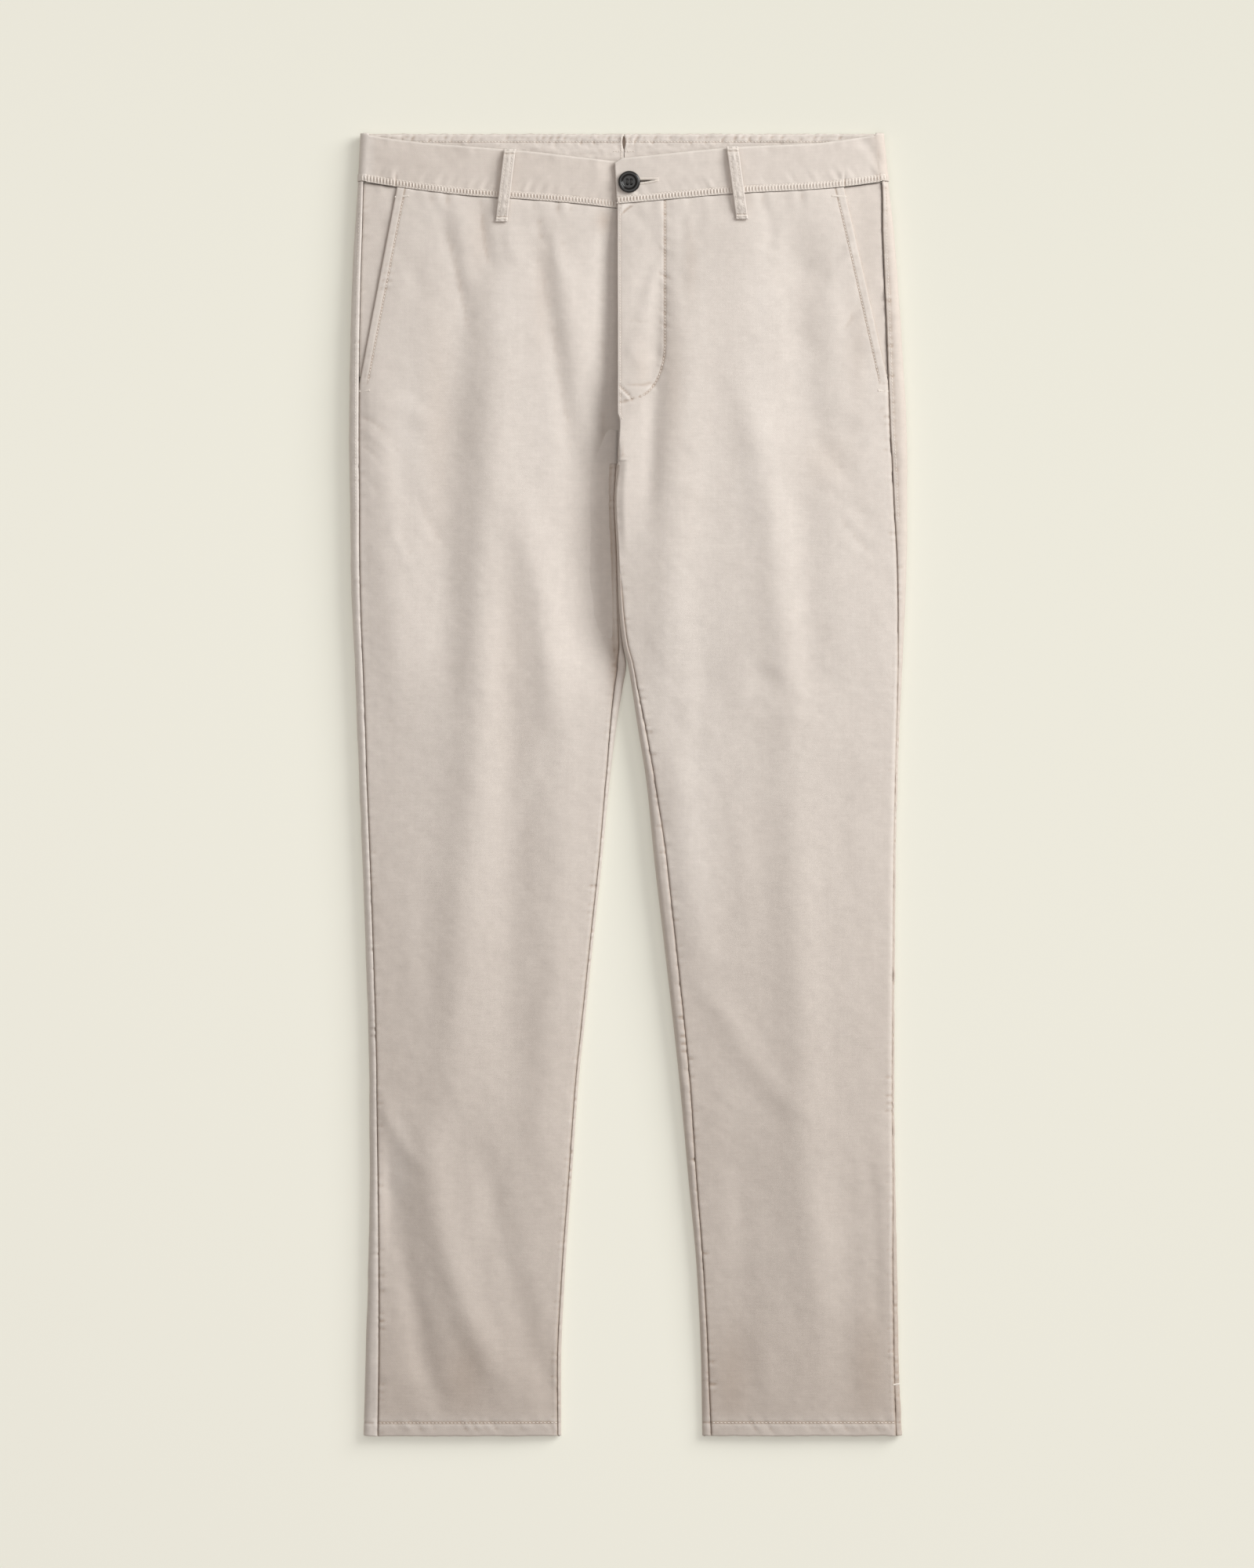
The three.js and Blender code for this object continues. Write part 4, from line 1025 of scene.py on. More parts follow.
def band_surface(leg, x, share):
    """The front of the waistband, with its ridge, ribs and rolled edges."""
    seam = leg.seam_y(x) + SEAM_GAP / 2
    top = leg.band_top_y(x)
    if leg.side > 0:
        top = top - CORNER * smooth(CORNER_LENGTH, 0, x - left_band_end(share))
    y = lerp(seam, top, share)
    up = share * (top - seam)
    down = top - y
    z = leg.top_height(x, y) + BAND_PROUD
    z = z + RIDGE_PROUD * smooth(RIDGE_END + 0.015, RIDGE_END - 0.015, share)
    return x, y, z + band_relief(leg, x, up, down, share)


def band_relief(leg, x, up, down, share):
    seed = 51 * (leg.side + 2)
    between = smooth(BAND_STITCH_LOW, BAND_STITCH_LOW + 1.2, up)
    between = between * smooth(BAND_STITCH_HIGH + 0.4, BAND_STITCH_HIGH - 1.0, up)
    strength = 0.22 + 0.1 * STREAK(x / 17 + seed, 2.5)
    z = strength * np.cos(2 * math.pi * x / RIB_PITCH) * between
    z = z - 0.28 * bell(up - BAND_STITCH_LOW, 0.5) - 0.32 * bell(up - BAND_STITCH_HIGH, 0.6)
    z = z - 0.4 * (1 - roll_rise(np.clip(up, 0, 9), np.float64(0.8)))
    z = z - 1.0 * (1 - roll_rise(np.clip(down, 0, 9), np.float64(1.6)))
    above = up - BAND_STITCH_HIGH
    drag = 0.55 * PUCKER((x + 0.5 * leg.side * above) / 4.6 + seed, 4.5)
    z = z + drag * smooth(0, 1.5, above) * smooth(15, 3, above)
    z = z + 0.4 * RUMPLE(x / 22 + seed, up / 14) + 0.14 * CRINKLE((x - 0.5 * up) / 7 + seed, up / 6)
    z = z + 0.3 * PUCKER(x / 5.5 + seed, 8.5) * bell(down - 4, 4)
    for place in PINCHES[leg.side]:
        z = z - 0.7 * bell(x - place, 1.1) * smooth(14, 4, up)
        z = z + 0.35 * bell(x - place + 3, 2) * smooth(16, 5, up)
    if leg.side > 0:
        from_end = x - left_band_end(share)
        z = z - 0.9 * (1 - roll_rise(np.clip(from_end, 0, 9), np.float64(1.4)))
        # A dent that runs down to the side from the upper edge
        off = (x - 201) * 0.84 + (up - 26) * 0.54
        z = z - 0.8 * bell(off, 4.5) * smooth(9, 20, up)
    return z


def inside_relief(leg, x, y):
    """How far the inside of the back waistband stands up: edges, stitching and small creases."""
    seed = 77 * (leg.side + 2)
    down = TOP_Y - y
    z = 0.35 * smooth(BACK_STITCH + 0.6, BACK_STITCH - 0.6, down) - 0.3 * bell(down - BACK_STITCH, 0.7)
    z = z - 0.9 * (1 - roll_rise(np.clip(down, 0, 9), np.float64(1.5)))
    z = z + 0.6 * PUCKER((x + 0.4 * down) / 3.0 + seed, 6.5) * bell(down - BACK_STITCH * 0.6, 4)
    z = z - 0.55 * smooth(0.35, 0.75, PUCKER(x / 2.6 + seed, down / 5)) * bell(down - BACK_STITCH, 2.6)
    z = z + 0.35 * RUMPLE(x / 16 + seed, y / 5) + 0.25 * CRINKLE(x / 4 + seed, y / 3)
    near_centre = np.abs(x - BACK_CENTRE_X)
    return z + 0.4 * bell(near_centre - 2.0, 1.4) * smooth(16, 11, down)


def waistband(leg, front_end, name):
    ridge_rows, upper_rows = np.linspace(0, RIDGE_END + 0.03, 14), np.linspace(RIDGE_END + 0.03, 1, 40)
    share = np.unique(np.concatenate([ridge_rows, upper_rows]))[:, None]
    y = lerp(WAIST_SEAM_Y + SEAM_GAP / 2, TOP_Y, share)
    s = leg.section(y)
    notch_share = np.clip((share - NOTCH_FROM) / (NOTCH_TO - NOTCH_FROM), 0, 1)
    notch = SEAM_GAP / 2 + NOTCH_HALF * np.sin(notch_share * math.pi) ** 0.8
    centre = BACK_CENTRE_X + leg.side * notch
    fold = s.outer - leg.side * OUTER_ROLL
    t = np.linspace(0, 1, 170)[None, :-1] ** 1.08
    back_x = lerp(centre, fold, t)
    uneven = 0.45 * PUCKER(back_x / 3.2, 4.5) + 0.3 * PUCKER(back_x / 9, 5.5)
    back_y = y + uneven * smooth(0.9, 1, share) * smooth(4, 20, np.abs(fold - back_x))
    back = np.stack([back_x, back_y, np.broadcast_to(ground_height(y), back_x.shape)], axis=-1)
    wall_back = WAISTBAND_WALL + inside_relief(leg, back_x, back_y)

    t = np.linspace(0, 1, 17)[None, :]
    path = lerp(-s.out_arc, s.out_arc, t)
    proud = BAND_PROUD + RIDGE_PROUD * smooth(RIDGE_END + 0.015, RIDGE_END - 0.015, share)
    turn = np.clip(path / s.out_arc, -1, 1) * math.pi / 2
    side_x = s.outer - leg.side * OUTER_ROLL * (1 - np.cos(turn)) + leg.side * proud * np.sin(t * math.pi)
    upper = leg.top_height(leg.top_x(s, np.maximum(path, 0)), y)
    lower = ground_height(y) + s.out_high / 2 * (1 + np.sin(turn))
    side_z = np.where(path >= 0, upper, lower) + proud * smooth(0.5, 1, t)
    up, down = y - y.min(), TOP_Y - y
    relief = band_relief(leg, side_x, up, down, share) * smooth(0.45, 0.8, t)
    side_z = side_z + relief
    side = points_at(side_x, y, side_z)

    count = round(abs(front_end - float(fold.mean())) / 0.66)
    t = np.linspace(0, 1, count)[None, 1:]
    end = left_band_end(share) if leg.side > 0 else front_end
    front = points_at(*band_surface(leg, lerp(fold, end, t), share))
    outer = np.concatenate([back, side, front], axis=1)
    wall_rest = np.full((len(share), outer.shape[1] - back.shape[1]), WAISTBAND_WALL)
    wall = np.concatenate([wall_back, wall_rest], axis=1)
    # The band's tone, with painted light round the right band's outer fold and painted shade round the left's
    tone = BAND_TONE[leg.side] + SIDE_PAINTED_LIGHT_AND_SHADE[leg.side] * smooth(16, 2, np.abs(outer[..., 0] - s.outer))
    return shell(name, outer, wall, BAND_MATERIAL, flip=leg.side > 0, step=1, tone=tone)


SHADE_SHEET_WIDTH = 12.0
SHADE_SHEET_LENGTH = 22.0
SHADE_SHEET_DROP = 1.5
SHADE_SHEET_HEIGHT = 1.35
SHADE_SHEET_WALL = 0.9
# How dark the sheet is made: painted shade
SHADE_SHEET_DARKNESS = -0.4


def back_shade_sheet(name):
    """A dark sheet under the centre back's slit, a painted shade that stands in for the shadow inside the
    slit.
    """
    x = BACK_CENTRE_X + np.linspace(-0.5, 0.5, 13)[None, :] * SHADE_SHEET_WIDTH
    y = TOP_Y - SHADE_SHEET_DROP - SHADE_SHEET_LENGTH * np.linspace(1, 0, 23)[:, None]
    z = SHADE_SHEET_HEIGHT + 0.1 * CRINKLE(x / 3, y / 3)
    outer = points_at(x, y, z)
    return shell(name, outer, SHADE_SHEET_WALL, BAND_MATERIAL, flip=False, tone=SHADE_SHEET_DARKNESS)


POCKET_UNDERLAP = 8.0
FACING_START = 6.0


def pocket_facing(leg, name):
    y = np.linspace(POCKET_TIP_Y + FACING_START, WAIST_SEAM_Y - SEAM_GAP / 2, 130)[:, None]
    s = leg.section(y)
    begin = seam_path(s.outseam, OUTER_ROLL, s.out_arc) + SEAM_GAP / 2
    end = seam_path(leg.pocket_inset(s, y) + POCKET_UNDERLAP, OUTER_ROLL, s.out_arc)
    path = lerp(begin, end, np.linspace(0, 1, 44)[None, :])
    x = leg.top_x(s, path)
    real_y = leg.row_y(x, y)
    seed = 90 * (leg.side + 2)
    z = leg.top_height(x, real_y) - LAYER_DROP + 0.7 * leg.rumple(x, real_y)
    z = z + 0.35 * RUMPLE(x / 12 + seed, real_y / 22) + seam_detail(path - begin, real_y, 0.4, 0.15, seed)
    below_waist = leg.seam_y(x) - real_y
    z = z - 0.5 * bell(below_waist, 1.2) + 0.35 * PUCKER(x / 5 + seed, 7.5) * smooth(14, 1, below_waist)
    outer = points_at(x, real_y, z)
    return shell(name, outer, CLOTH, CLOTH_MATERIAL, flip=leg.side > 0, tone=FACING_TONE[leg.side])


SHIELD_FROM_X = -4.0
SHIELD_TO_X = 32.0
SHIELD_END_Y = 318.0
SHIELD_DROP = 2.0
SHIELD_CLIMB = 12.0


def fly_shield(name):
    x = np.linspace(SHIELD_TO_X, SHIELD_FROM_X, 40)[None, :]
    t = np.linspace(0, 1, 60)[:, None]
    y = lerp(SHIELD_END_Y, RIGHT.seam_y(x) - SEAM_GAP, t)
    share = smooth(SHIELD_FROM_X, SHIELD_FROM_X + SHIELD_CLIMB, x)
    z = lerp(RIGHT.top_height(np.full_like(y, SHIELD_FROM_X), y), LEFT.top_height(x, y) - SHIELD_DROP, share)
    outer = points_at(x, y, z)
    return shell(name, outer, CLOTH, CLOTH_MATERIAL, flip=True)


# Belt loops

FRONT_LOOPS = {
    "belt_loop_front_right": (RIGHT, (-97.7, 525.0), (-104.9, 464.6)),
    "belt_loop_front_left": (LEFT, (85.8, 527.0), (94.0, 466.4)),
}
BACK_LOOPS = {
    "belt_loop_back_right": -46.0,
    "belt_loop_back_left": 39.0,
    "belt_loop_side_right": -150.0,
    "belt_loop_side_left": 143.0,
}
BACK_LOOP_LENGTH = 56.0
LOOP_END_FOLD = 4.0
LOOP_STITCH_X = 2.6
LOOP_ACROSS = np.linspace(-1, 1, 25)[None, :]
LOOP_ALONG = np.linspace(0, 1, 100)[:, None]


def loop_relief(across, along, length):
    """A strip sewn with two close rows, with thicker folded ends."""
    off = np.abs(across) * LOOP_WIDTH / 2
    edge = LOOP_WIDTH / 2 - off
    z = -0.55 * (1 - roll_rise(np.clip(edge, 0, 9), np.float64(1.3)))
    z = z + 0.2 * bell(off, 1.6) - 0.22 * bell(off - LOOP_STITCH_X, 0.5)
    z = z + 0.25 * CRINKLE(across * 3, along * length / 2.4) * bell(off, 4)
    from_end = np.minimum(along, 1 - along) * length
    z = z + 0.5 * smooth(LOOP_END_FOLD + 0.5, LOOP_END_FOLD - 0.5, from_end)
    z = z - 0.45 * bell(from_end - LOOP_END_FOLD, 0.6)
    return z - 0.8 * (1 - roll_rise(np.clip(from_end, 0, 9), np.float64(1.2)))


def front_loop_surface(leg, upper, lower, across, along):
    centre_x, y = lerp(lower[0], upper[0], along), lerp(lower[1], upper[1], along)
    on_band = (BAND_PROUD + RIDGE_PROUD) * smooth(-6, -2, y - leg.seam_y(centre_x))
    lift = LOOP_LIFT * smooth(0.03, 0.2, along) * smooth(1, 0.86, along)
    z = leg.top_height(centre_x, y) + on_band + lift + SEAM_GAP + LOOP_WALL + 0.2
    length = math.hypot(upper[0] - lower[0], upper[1] - lower[1])
    flare = 1 + 0.05 * smooth(0.1, 0, along) + 0.05 * smooth(0.93, 1, along)
    x = centre_x + across * LOOP_WIDTH / 2 * flare
    z = z + loop_relief(across, along, length) + 0.5 * (x - centre_x) / LOOP_WIDTH
    return points_at(x, y, z)


def front_loop(place, name):
    leg, upper, lower = place
    outer = front_loop_surface(leg, upper, lower, LOOP_ACROSS, LOOP_ALONG)
    return shell(name, outer, LOOP_WALL - 0.2, BAND_MATERIAL, flip=False)


def back_loop(centre_x, name):
    x = centre_x + LOOP_ACROSS * LOOP_WIDTH / 2
    y = TOP_Y - 1 - BACK_LOOP_LENGTH * (1 - LOOP_ALONG)
    z = 0.15 - np.minimum(loop_relief(LOOP_ACROSS, LOOP_ALONG, BACK_LOOP_LENGTH) * 0.6, 0.15)
    outer = points_at(x, y, z)
    return shell(name, outer, LOOP_WALL - 0.3, BAND_MATERIAL, flip=True)


# Button and buttonhole

BUTTON_X, BUTTON_Y = 0.8, 497.6
BUTTON_HIGH = 3.4
BUTTON_HOLE = 0.95
BUTTON_HOLE_AT = 2.3  # from the centre, on the two diagonals
DISH_RADIUS = 6.0
DISH_DEPTH = 1.3
SLOT_FROM, SLOT_TO = (-1.0, 497.3), (24.6, 499.5)
SLOT_HALF = 1.5


def button_seat():
    return float(LEFT.top_height(np.float64(BUTTON_X), np.float64(BUTTON_Y))) + BAND_PROUD + SEAM_GAP + 0.15


def button_profile(seat):
    """The section of the button from its middle over the rim and back underneath."""
    top = seat + BUTTON_HIGH
    turn = np.linspace(-math.pi / 2, math.pi / 2, 22)[::-1]
    middle = [(r, top - DISH_DEPTH) for r in np.linspace(0.001, DISH_RADIUS - 1.1, 26)]
    wall = [
        (DISH_RADIUS - 1.1 + 2.0 * t, top - DISH_DEPTH * (1 - t * t * (3 - 2 * t)))
        for t in np.linspace(0.08, 1, 12)
    ]
    rim = [
        (BUTTON_RADIUS - 1.5 + 1.5 * math.cos(a), top - BUTTON_HIGH / 2 + BUTTON_HIGH / 2 * math.sin(a))
        for a in turn
    ]
    under = [(r, seat) for r in (BUTTON_RADIUS * 0.6, BUTTON_RADIUS * 0.3, 0.001)]
    return np.array(middle + wall + rim + under)


def button(name):
    profile = button_profile(button_seat())
    turn = np.linspace(0, 2 * math.pi, 97)[:-1]
    radius, height = profile[:, :1], profile[:, 1:]
    x, y = radius * np.cos(turn), radius * np.sin(turn)
    z = np.broadcast_to(height, x.shape).copy()
    facing_up = np.arange(len(profile))[:, None] < 40
    for k in range(4):
        angle = math.pi / 4 + k * math.pi / 2
        away = np.hypot(x - BUTTON_HOLE_AT * math.cos(angle), y - BUTTON_HOLE_AT * math.sin(angle))
        z -= np.where(facing_up, 1.3 * smooth(BUTTON_HOLE + 0.12, BUTTON_HOLE - 0.12, away), 0)
    points = np.stack([x + BUTTON_X, y + BUTTON_Y, z], axis=-1)
    rows, columns = x.shape
    index = np.arange(rows * columns).reshape(rows, columns)
    after = np.roll(index, -1, axis=1)
    quads = np.stack([index[:-1], index[1:], after[1:], after[:-1]], axis=-1).reshape(-1, 4)
    caps = [tuple(index[0]), tuple(index[-1][::-1])]
    return make_mesh(name, points.reshape(-1, 3), quads, caps, BUTTON_MATERIAL)


def slot_half(t):
    """Half the slot's width, which tapers to nothing at its far end."""
    return SLOT_HALF * math.sqrt(max(0.0, 1 - t)) * (0.25 + 0.75 * min(1, 3 * (1 - t)))


def slot_cutter():
    """A tapering prism through the left waistband, where the button passes."""
    (x0, y0), (x1, y1) = SLOT_FROM, SLOT_TO
    outline = []
    for t in np.linspace(0, 1, 14):
        outline.append((lerp(x0, x1, t), lerp(y0, y1, t) + slot_half(t)))
    lower = [(x, 2 * lerp(y0, y1, (x - x0) / (x1 - x0)) - y) for x, y in outline[-2:0:-1]]
    outline += [*lower, (x0, y0 - SLOT_HALF)]
    outline = outline[::-1]
    count = len(outline)
    points = [(x, y, z) for z in (8.0, 24.0) for x, y in outline]
    sides = [(i, (i + 1) % count, (i + 1) % count + count, i + count) for i in range(count)]
    mesh = bpy.data.meshes.new("slot")
    ends = [tuple(range(count))[::-1], tuple(range(count, 2 * count))]
    mesh.from_pydata((np.array(points) * MM).tolist(), [], [*ends, *sides])
    cutter = bpy.data.objects.new("slot", mesh)
    bpy.context.scene.collection.objects.link(cutter)
    return cutter


def cut_slot(piece):
    cutter = slot_cutter()
    cut = piece.modifiers.new("slot", "BOOLEAN")
    cut.operation = "DIFFERENCE"
    cut.solver = "EXACT"
    cut.object = cutter
    evaluated = piece.evaluated_get(bpy.context.evaluated_depsgraph_get())
    piece.data = bpy.data.meshes.new_from_object(evaluated)
    piece.modifiers.clear()
    bpy.data.objects.remove(cutter)


# Sewing

THREAD_RADIUS = 0.33
RIB_RADIUS = 0.5
STITCH_PITCH = 2.7
STITCH_LENGTH = 1.7
STITCH_LIFT = 0.05
STITCH_SIDES = 6
UP = np.array([0.0, 0.0, 1.0])


def capsule(length, radius):
    """A short rounded bar along X, as rings of points with a pole at each end."""
    half = length / 2
    rings = [(-half + radius * 0.3, 0.7), (-half + radius * 0.9, 1)]
    rings += [(half - radius * 0.9, 1), (half - radius * 0.3, 0.7)]
    turn = np.arange(STITCH_SIDES) * 2 * math.pi / STITCH_SIDES
    points = [(x, radius * k * math.cos(a), radius * k * math.sin(a)) for x, k in rings for a in turn]
    points += [(-half, 0, 0), (half, 0, 0)]
    sides, low, high = STITCH_SIDES, len(points) - 2, len(points) - 1
    quads = [
        (r * sides + k, r * sides + (k + 1) % sides, (r + 1) * sides + (k + 1) % sides, (r + 1) * sides + k)
        for r in range(len(rings) - 1)
        for k in range(sides)
    ]
    last = (len(rings) - 1) * sides
    caps = [((k + 1) % sides, k, low) for k in range(sides)]
    caps += [(last + k, last + (k + 1) % sides, high) for k in range(sides)]
    return np.array(points), np.array(quads), np.array(caps)


class Sewing:
    """Gathers the stitches of one thread, which become one mesh."""

    def __init__(self):
        self.places = []

    def add(self, centre, along, up, length=STITCH_LENGTH, radius=THREAD_RADIUS):
        centre, along, up = (np.asarray(v, float) for v in (centre, along, up))
        self.places.append((centre, along, up, length, radius))

    def row(self, points, ups=None, pitch=STITCH_PITCH, length=STITCH_LENGTH):
        """Stitches at an even pitch along a line of points that lie on the cloth."""
        ups = np.broadcast_to(UP, points.shape) if ups is None else ups
        steps = np.linalg.norm(np.diff(points, axis=0), axis=1)
        run = np.concatenate([[0], np.cumsum(steps)])
        for at in np.arange(pitch / 2, run[-1], pitch):
            i = min(max(int(np.searchsorted(run, at)) - 1, 0), len(steps) - 1)
            t = (at - run[i]) / max(steps[i], 1e-6)
            along = points[i + 1] - points[i]
            up = lerp(ups[i], ups[i + 1], t)
            along = along / np.linalg.norm(along)
            self.add(lerp(points[i], points[i + 1], t) + up * STITCH_LIFT, along, up, length)

    def bar(self, start, end, up, wide=1.6, pitch=0.42, radius=0.3):
        """A bar tack: threads laid close together across a short line."""
        start, end, up = (np.asarray(v, float) for v in (start, end, up))
        line = end - start
        across = np.cross(up, line / np.linalg.norm(line))
        for t in np.arange(0, 1.0001, pitch / np.linalg.norm(line)):
            self.add(lerp(start, end, t) + up * 0.12, across, up, wide, radius)

    def build(self, name, material):
        points, quads, caps = [], [], []
        for centre, along, up, length, radius in self.places:
            shape, q, c = capsule(length, radius)
            x = along / np.linalg.norm(along)
            y = np.cross(up, x)
            y = y / np.linalg.norm(y)
            z = np.cross(x, y)
            offset = len(points) * len(shape)
            points.append(centre + shape @ np.stack([x, y, z]))
            quads.append(q + offset)
            caps.append(c + offset)
        caps = np.concatenate(caps).tolist()
        piece = make_mesh(name, np.concatenate(points), np.concatenate(quads), caps, material)
        return piece


def front_places(leg, x, y):
    """Points of a front panel's surface over places on it, with the directions that face out."""
    x, y = np.broadcast_arrays(np.asarray(x, float), np.asarray(y, float))

    def at(x, y):
        level = leg.level_y(x, y)
        s = leg.section(level)
        inset = (s.outer - x) * leg.side
        return front_point(leg, seam_path(inset, OUTER_ROLL, s.out_arc), level)

    return at(x, y), face_out(at(x + 0.5, y) - at(x - 0.5, y), at(x, y + 0.5) - at(x, y - 0.5))


def face_out(a, b):
    up = np.cross(a, b)
    return up / np.linalg.norm(up, axis=-1, keepdims=True)


def sew_pockets(sewing):
    for leg in (RIGHT, LEFT):
        y = np.linspace(POCKET_TIP_Y + 2, WAIST_SEAM_Y - 10, 90)
        s = leg.section(y)
        begin, _ = leg.front_limits(s, y)
        x = leg.top_x(s, begin + POCKET_STITCH)
        sewing.row(*front_places(leg, x, leg.row_y(x, y)))
        for level, long in ((WAIST_SEAM_Y - 8.5, 11.5), (POCKET_TIP_Y - 6.0, 8.5)):
            level = np.array([level])
            s = leg.section(level)
            begin, _ = leg.front_limits(s, np.maximum(level, POCKET_TIP_Y))
            x = leg.top_x(s, begin + np.array([0.2]))
            ends = np.concatenate([x, x - leg.side * long])
            points, ups = front_places(leg, ends, np.repeat(leg.row_y(x, level), 2) + np.array([0.0, 0.6]))
            sewing.bar(points[0], points[1], ups[1])


def sew_fly(sewing):
    y = np.linspace(CROTCH_Y + 34, WAIST_SEAM_Y - 1, 160)
    s = LEFT.section(y)
    _, end = LEFT.front_limits(s, y)
    x = LEFT.top_x(s, end - FLY_EDGE_STITCH)
    sewing.row(*front_places(LEFT, x, LEFT.row_y(x, y)), pitch=2.2, length=1.6)
    top = float(LEFT.seam_y(FLY_STITCH_X)) - 1
    down = np.linspace(top, FLY_END[1] + 0.5, 220)
    across = fly_edge_x(down)
    points, ups = front_places(LEFT, across, down)
    sewing.row(points, ups)
    # The curve runs flat at its end, where even steps down leave too few points
    flat_x = np.linspace(across[-1], FLY_END[0], 12)
    sewing.row(*front_places(LEFT, flat_x, np.full(12, FLY_END[1] + 0.2)))


def sew_band(sewing):
    for leg, end in ((RIGHT, LEFT_BAND_END - 1.5), (LEFT, LEFT_BAND_END + 2)):
        fold = leg.section(WAIST_SEAM_Y).outer - leg.side * OUTER_ROLL * 0.4
        x = np.linspace(float(fold), end, 420)
        for up_from_seam in (BAND_STITCH_LOW, BAND_STITCH_HIGH):
            span = leg.band_top_y(x) - leg.seam_y(x) - SEAM_GAP / 2
            points = np.stack(band_surface(leg, x, up_from_seam / span), axis=-1)
            sewing.row(points, pitch=RIB_PITCH, length=1.8)
        sew_ribs(sewing, leg, float(fold), end)


def sew_ribs(sewing, leg, start, end):
    """The threads that cross between the two rows over the waist seam."""
    low, high = sorted((start, end))
    for x in np.arange(math.ceil(low / RIB_PITCH), math.floor(high / RIB_PITCH) + 1) * RIB_PITCH:
        span = float(leg.band_top_y(x) - leg.seam_y(x)) - SEAM_GAP / 2
        places = np.array([BAND_STITCH_LOW + 0.6, BAND_STITCH_HIGH - 0.8]) / span
        ends = [np.array([float(v) for v in band_surface(leg, np.float64(x), place)]) for place in places]
        length = np.linalg.norm(ends[1] - ends[0])
        sewing.add((ends[0] + ends[1]) / 2 - UP * 0.12, ends[1] - ends[0], UP, length, RIB_RADIUS)


def band_inside_points(leg, x, y):
    x, y = np.broadcast_arrays(x, y)
    return points_at(x, y, ground_height(y) + WAISTBAND_WALL + inside_relief(leg, x, y))


def sew_band_inside(sewing):
    for leg in (RIGHT, LEFT):
        x = np.linspace(BACK_CENTRE_X + leg.side * 1.0, leg.side * 205, 300)
        sewing.row(band_inside_points(leg, x, TOP_Y - BACK_STITCH))
        # Short rows across the foot of the centre back's slit and beside it
        x = np.linspace(BACK_CENTRE_X + leg.side * 0.4, BACK_CENTRE_X + leg.side * 10, 30)
        sewing.row(band_inside_points(leg, x, TOP_Y - 14.5), pitch=2.2, length=1.7)
    y = np.linspace(TOP_Y - 2.5, TOP_Y - 21, 40)
    sewing.row(band_inside_points(RIGHT, BACK_CENTRE_X - 2.2, y), pitch=2.0, length=1.9)


def sew_outseams(sewing):
    for leg in (RIGHT, LEFT):
        y = np.linspace(OUTSEAM_STITCH_END_Y, WAIST_SEAM_Y - 2, 260)
        s = leg.section(y)
        path = seam_path(s.outseam, OUTER_ROLL, s.out_arc) - SEAM_GAP / 2 - OUTSEAM_STITCH

        def at(path, y):
            return back_outer_point(leg, path, y)

        across = at(path - 0.4, y) - at(path + 0.4, y)
        along = at(path, y + 0.5) - at(path, y - 0.5)
        sewing.row(at(path, y), face_out(across, along) * leg.side)


def sew_hems(sewing):
    for leg in (RIGHT, LEFT):
        y = HEM_Y + HEM_FOLD
        s = leg.section(np.array(y))
        begin, end = leg.front_limits(s, y)
        path = np.linspace(float(begin) + 0.5, float(end) - 0.5, 240)
        points = front_point(leg, path, np.full_like(path, y))
        sewing.row(points, pitch=3.1, length=2.1)
    points, ups = front_places(LEFT, np.array([219.5, 224.5]), np.array([-496.5, -496.0]))
    sewing.bar(points[0], points[1], ups[0])


def sew_loops(sewing):
    for leg, upper, lower in FRONT_LOOPS.values():
        for edge in (-1, 1):
            across = edge * LOOP_STITCH_X / (LOOP_WIDTH / 2)
            points = front_loop_surface(leg, upper, lower, across, np.linspace(0.07, 0.93, 60))
            sewing.row(points, pitch=2.3, length=1.7)
        for along in (0.045, 0.955):
            ends = front_loop_surface(leg, upper, lower, np.array([-0.8, 0.8]), np.array([along, along]))
            sewing.bar(ends[0], ends[1], UP, wide=1.5)


def sew_buttonhole(sewing):
    (x0, y0), (x1, y1) = SLOT_FROM, SLOT_TO
    for t in np.arange(0.34, 1.02, 0.03):
        half = slot_half(t)
        x, middle = lerp(x0, x1, t), lerp(y0, y1, t)
        for edge in (-1, 1):
            y = middle + edge * (half + 0.75)
            share = (y - LEFT.seam_y(x)) / (LEFT.band_top_y(x) - LEFT.seam_y(x))
            centre = np.array([float(v) for v in band_surface(LEFT, np.float64(x), share)])
            sewing.add(centre + UP * 0.14, (0.25, 1.0, 0.0), UP, 2.1, 0.4)


def sew_button(name):
    sewing = Sewing()
    z = button_seat() + BUTTON_HIGH - DISH_DEPTH + 0.25
    reach = BUTTON_HOLE_AT * math.sqrt(0.5)
    for edge in (-1, 1):
        for shift in (-0.3, 0.3):
            centre = (BUTTON_X + edge * reach + shift, BUTTON_Y, z)
            sewing.add(centre, (0.02 * edge, 1, 0), UP, 2 * reach + 0.9, 0.33)
    return sewing.build(name, DARK_THREAD)


# The whole garment, with the frame's node that each piece stands for and what it lies on

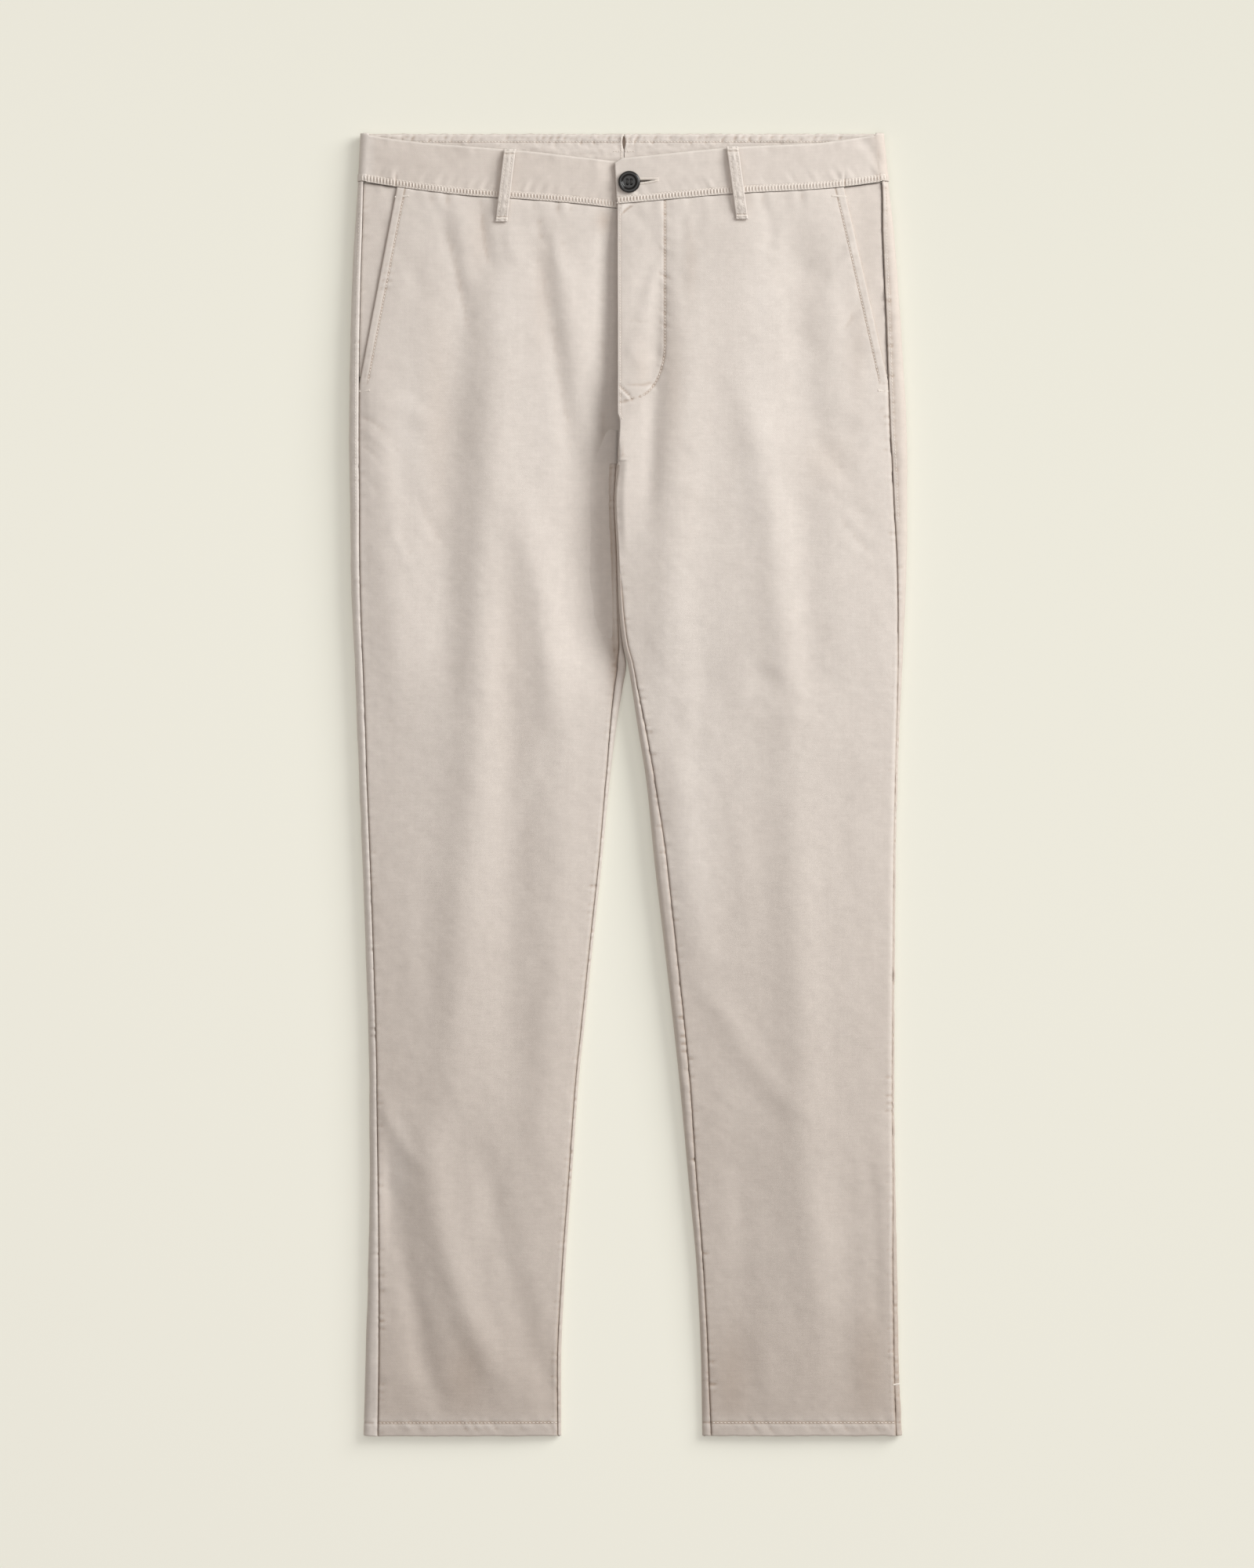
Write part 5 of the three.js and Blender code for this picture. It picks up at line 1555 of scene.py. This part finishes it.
CLOTH_PIECES = (
    ("front_right", front_panel, (RIGHT,), "back_right_cloth"),
    ("front_left", front_panel, (LEFT,), "back_left_cloth"),
    ("back_right", back_panel, (RIGHT,), "floor"),
    ("back_left", back_panel, (LEFT,), "floor"),
    ("pocket_facing_right", pocket_facing, (RIGHT,), "back_right_cloth"),
    ("pocket_facing_left", pocket_facing, (LEFT,), "back_left_cloth"),
    ("fly_shield", fly_shield, (), "front_right_cloth"),
    ("waistband_right", waistband, (RIGHT, RIGHT_BAND_END), "floor"),
    ("waistband_left", waistband, (LEFT, LEFT_BAND_END), "waistband_right_cloth"),
    ("belt_loop_front_right", front_loop, (FRONT_LOOPS["belt_loop_front_right"],), "waistband_right_cloth"),
    ("belt_loop_front_left", front_loop, (FRONT_LOOPS["belt_loop_front_left"],), "waistband_left_cloth"),
    *((node, back_loop, (centre_x,), "floor") for node, centre_x in BACK_LOOPS.items()),
)


def build_cloth():
    for node, build, values, below in CLOTH_PIECES:
        piece = build(*values, node + "_cloth")
        if node == "waistband_left":
            cut_slot(piece)
        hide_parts(node)


def build_shade_sheet():
    # A dark sheet under the centre back's slit: painted shade
    shade_sheet = back_shade_sheet("back_seam_shade_sheet")


def build_button():
    disc = button("button_disc")
    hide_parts("button")
    thread = sew_button("button_thread_strands")


def build_sewing():
    for name, sew in (
        ("pocket_stitches", sew_pockets),
        ("fly_stitches", sew_fly),
        ("waistband_stitches", sew_band),
        ("waistband_inside_stitches", sew_band_inside),
        ("outseam_stitches", sew_outseams),
        ("hem_stitches", sew_hems),
        ("loop_stitches", sew_loops),
        ("buttonhole_stitches", sew_buttonhole),
    ):
        sewing = Sewing()
        sew(sewing)
        sewing.build(name, THREAD_MATERIAL)


build_cloth()
build_shade_sheet()
build_button()
build_sewing()

# Stage, light and camera

FLOOR_COLOUR = (0.6, 0.589, 0.518)
FLOOR_GLOW_COLOUR = (0.6, 0.589, 0.53, 1)
FLOOR_GLOW = 0.42
GLOW_RISE_X = -0.22  # the glow's change for each metre, which evens out the key light's fall
GLOW_RISE_Y = -0.2
GLOW_TWIST = -0.15
GLOW_LIMIT = 0.8
FLOOR_SIZE = 12  # metres
FLOOR_DROP = 0.0004
KEY_LIGHT = {
    "place": (2.8, 1.92, 2.0), "target": (0, 0, 0), "size": 2.4, "watts": 160, "colour": (0.985, 1, 0.995)
}
OVERHEAD_LIGHT = {"place": (0, 0.3, 1.7), "target": (0, 0.3, 0), "size": 1.6, "watts": 9}
WORLD_COLOUR = (1, 0.915, 0.85, 1)
WORLD_STRENGTH = 0.28
CAMERA_HEIGHT = 4.0
CAMERA_AT = (-1.0, 0.65)
CAMERA_SENSOR = 36
PICTURE_ROWS = 2000
PIXEL_SIZE = 0.65


def floor():
    """A pale floor that stays evenly bright under the falling light."""
    bpy.ops.mesh.primitive_plane_add(size=FLOOR_SIZE, location=(0, 0, -FLOOR_DROP))
    plane = bpy.context.object
    plane.name = "floor"
    material, tree, shader = new_material("floor", FLOOR_COLOUR, 0.9)
    shader.inputs["Emission Color"].default_value = FLOOR_GLOW_COLOUR
    place = add_node(tree, "ShaderNodeTexCoord").outputs["Object"]
    parts = add_node(tree, "ShaderNodeSeparateXYZ")
    tree.links.new(place, parts.inputs["Vector"])
    glow = math_node(tree, "MULTIPLY", parts.outputs["X"], GLOW_RISE_X)
    glow = math_node(tree, "ADD", glow, math_node(tree, "MULTIPLY", parts.outputs["Y"], GLOW_RISE_Y))
    twist = math_node(tree, "MULTIPLY", parts.outputs["X"], parts.outputs["Y"])
    glow = math_node(tree, "ADD", glow, math_node(tree, "MULTIPLY", twist, GLOW_TWIST))
    glow = math_node(tree, "MAXIMUM", math_node(tree, "ADD", glow, FLOOR_GLOW), 0.0)
    glow = math_node(tree, "MINIMUM", glow, GLOW_LIMIT)
    tree.links.new(glow, shader.inputs["Emission Strength"])
    plane.data.materials.append(material)


def area_light(name, place, target, size, watts, colour=(1, 1, 1)):
    data = bpy.data.lights.new(name, "AREA")
    data.shape = "SQUARE"
    data.size = size
    data.energy = watts
    data.color = colour
    light = bpy.data.objects.new(name, data)
    bpy.context.scene.collection.objects.link(light)
    light.location = place
    light.rotation_euler = (Vector(target) - Vector(place)).to_track_quat("-Z", "Y").to_euler()


def camera():
    """Straight above, framing the 1600 by 2000 picture at 0.65 mm to a pixel."""
    frame_height = PICTURE_ROWS * PIXEL_SIZE * MM
    data = bpy.data.cameras.new("camera")
    data.sensor_width = CAMERA_SENSOR
    data.lens = data.sensor_width * CAMERA_HEIGHT / frame_height
    view = bpy.data.objects.new("camera", data)
    view.location = (CAMERA_AT[0] * MM, CAMERA_AT[1] * MM, CAMERA_HEIGHT)
    bpy.context.scene.collection.objects.link(view)
    bpy.context.scene.camera = view


floor()
area_light("key", **KEY_LIGHT)
area_light("overhead", **OVERHEAD_LIGHT)
world = bpy.data.worlds.new("world")
world.use_nodes = True
world.node_tree.nodes["Background"].inputs["Color"].default_value = WORLD_COLOUR
world.node_tree.nodes["Background"].inputs["Strength"].default_value = WORLD_STRENGTH
bpy.context.scene.world = world
bpy.context.scene.view_settings.view_transform = "Standard"
camera()
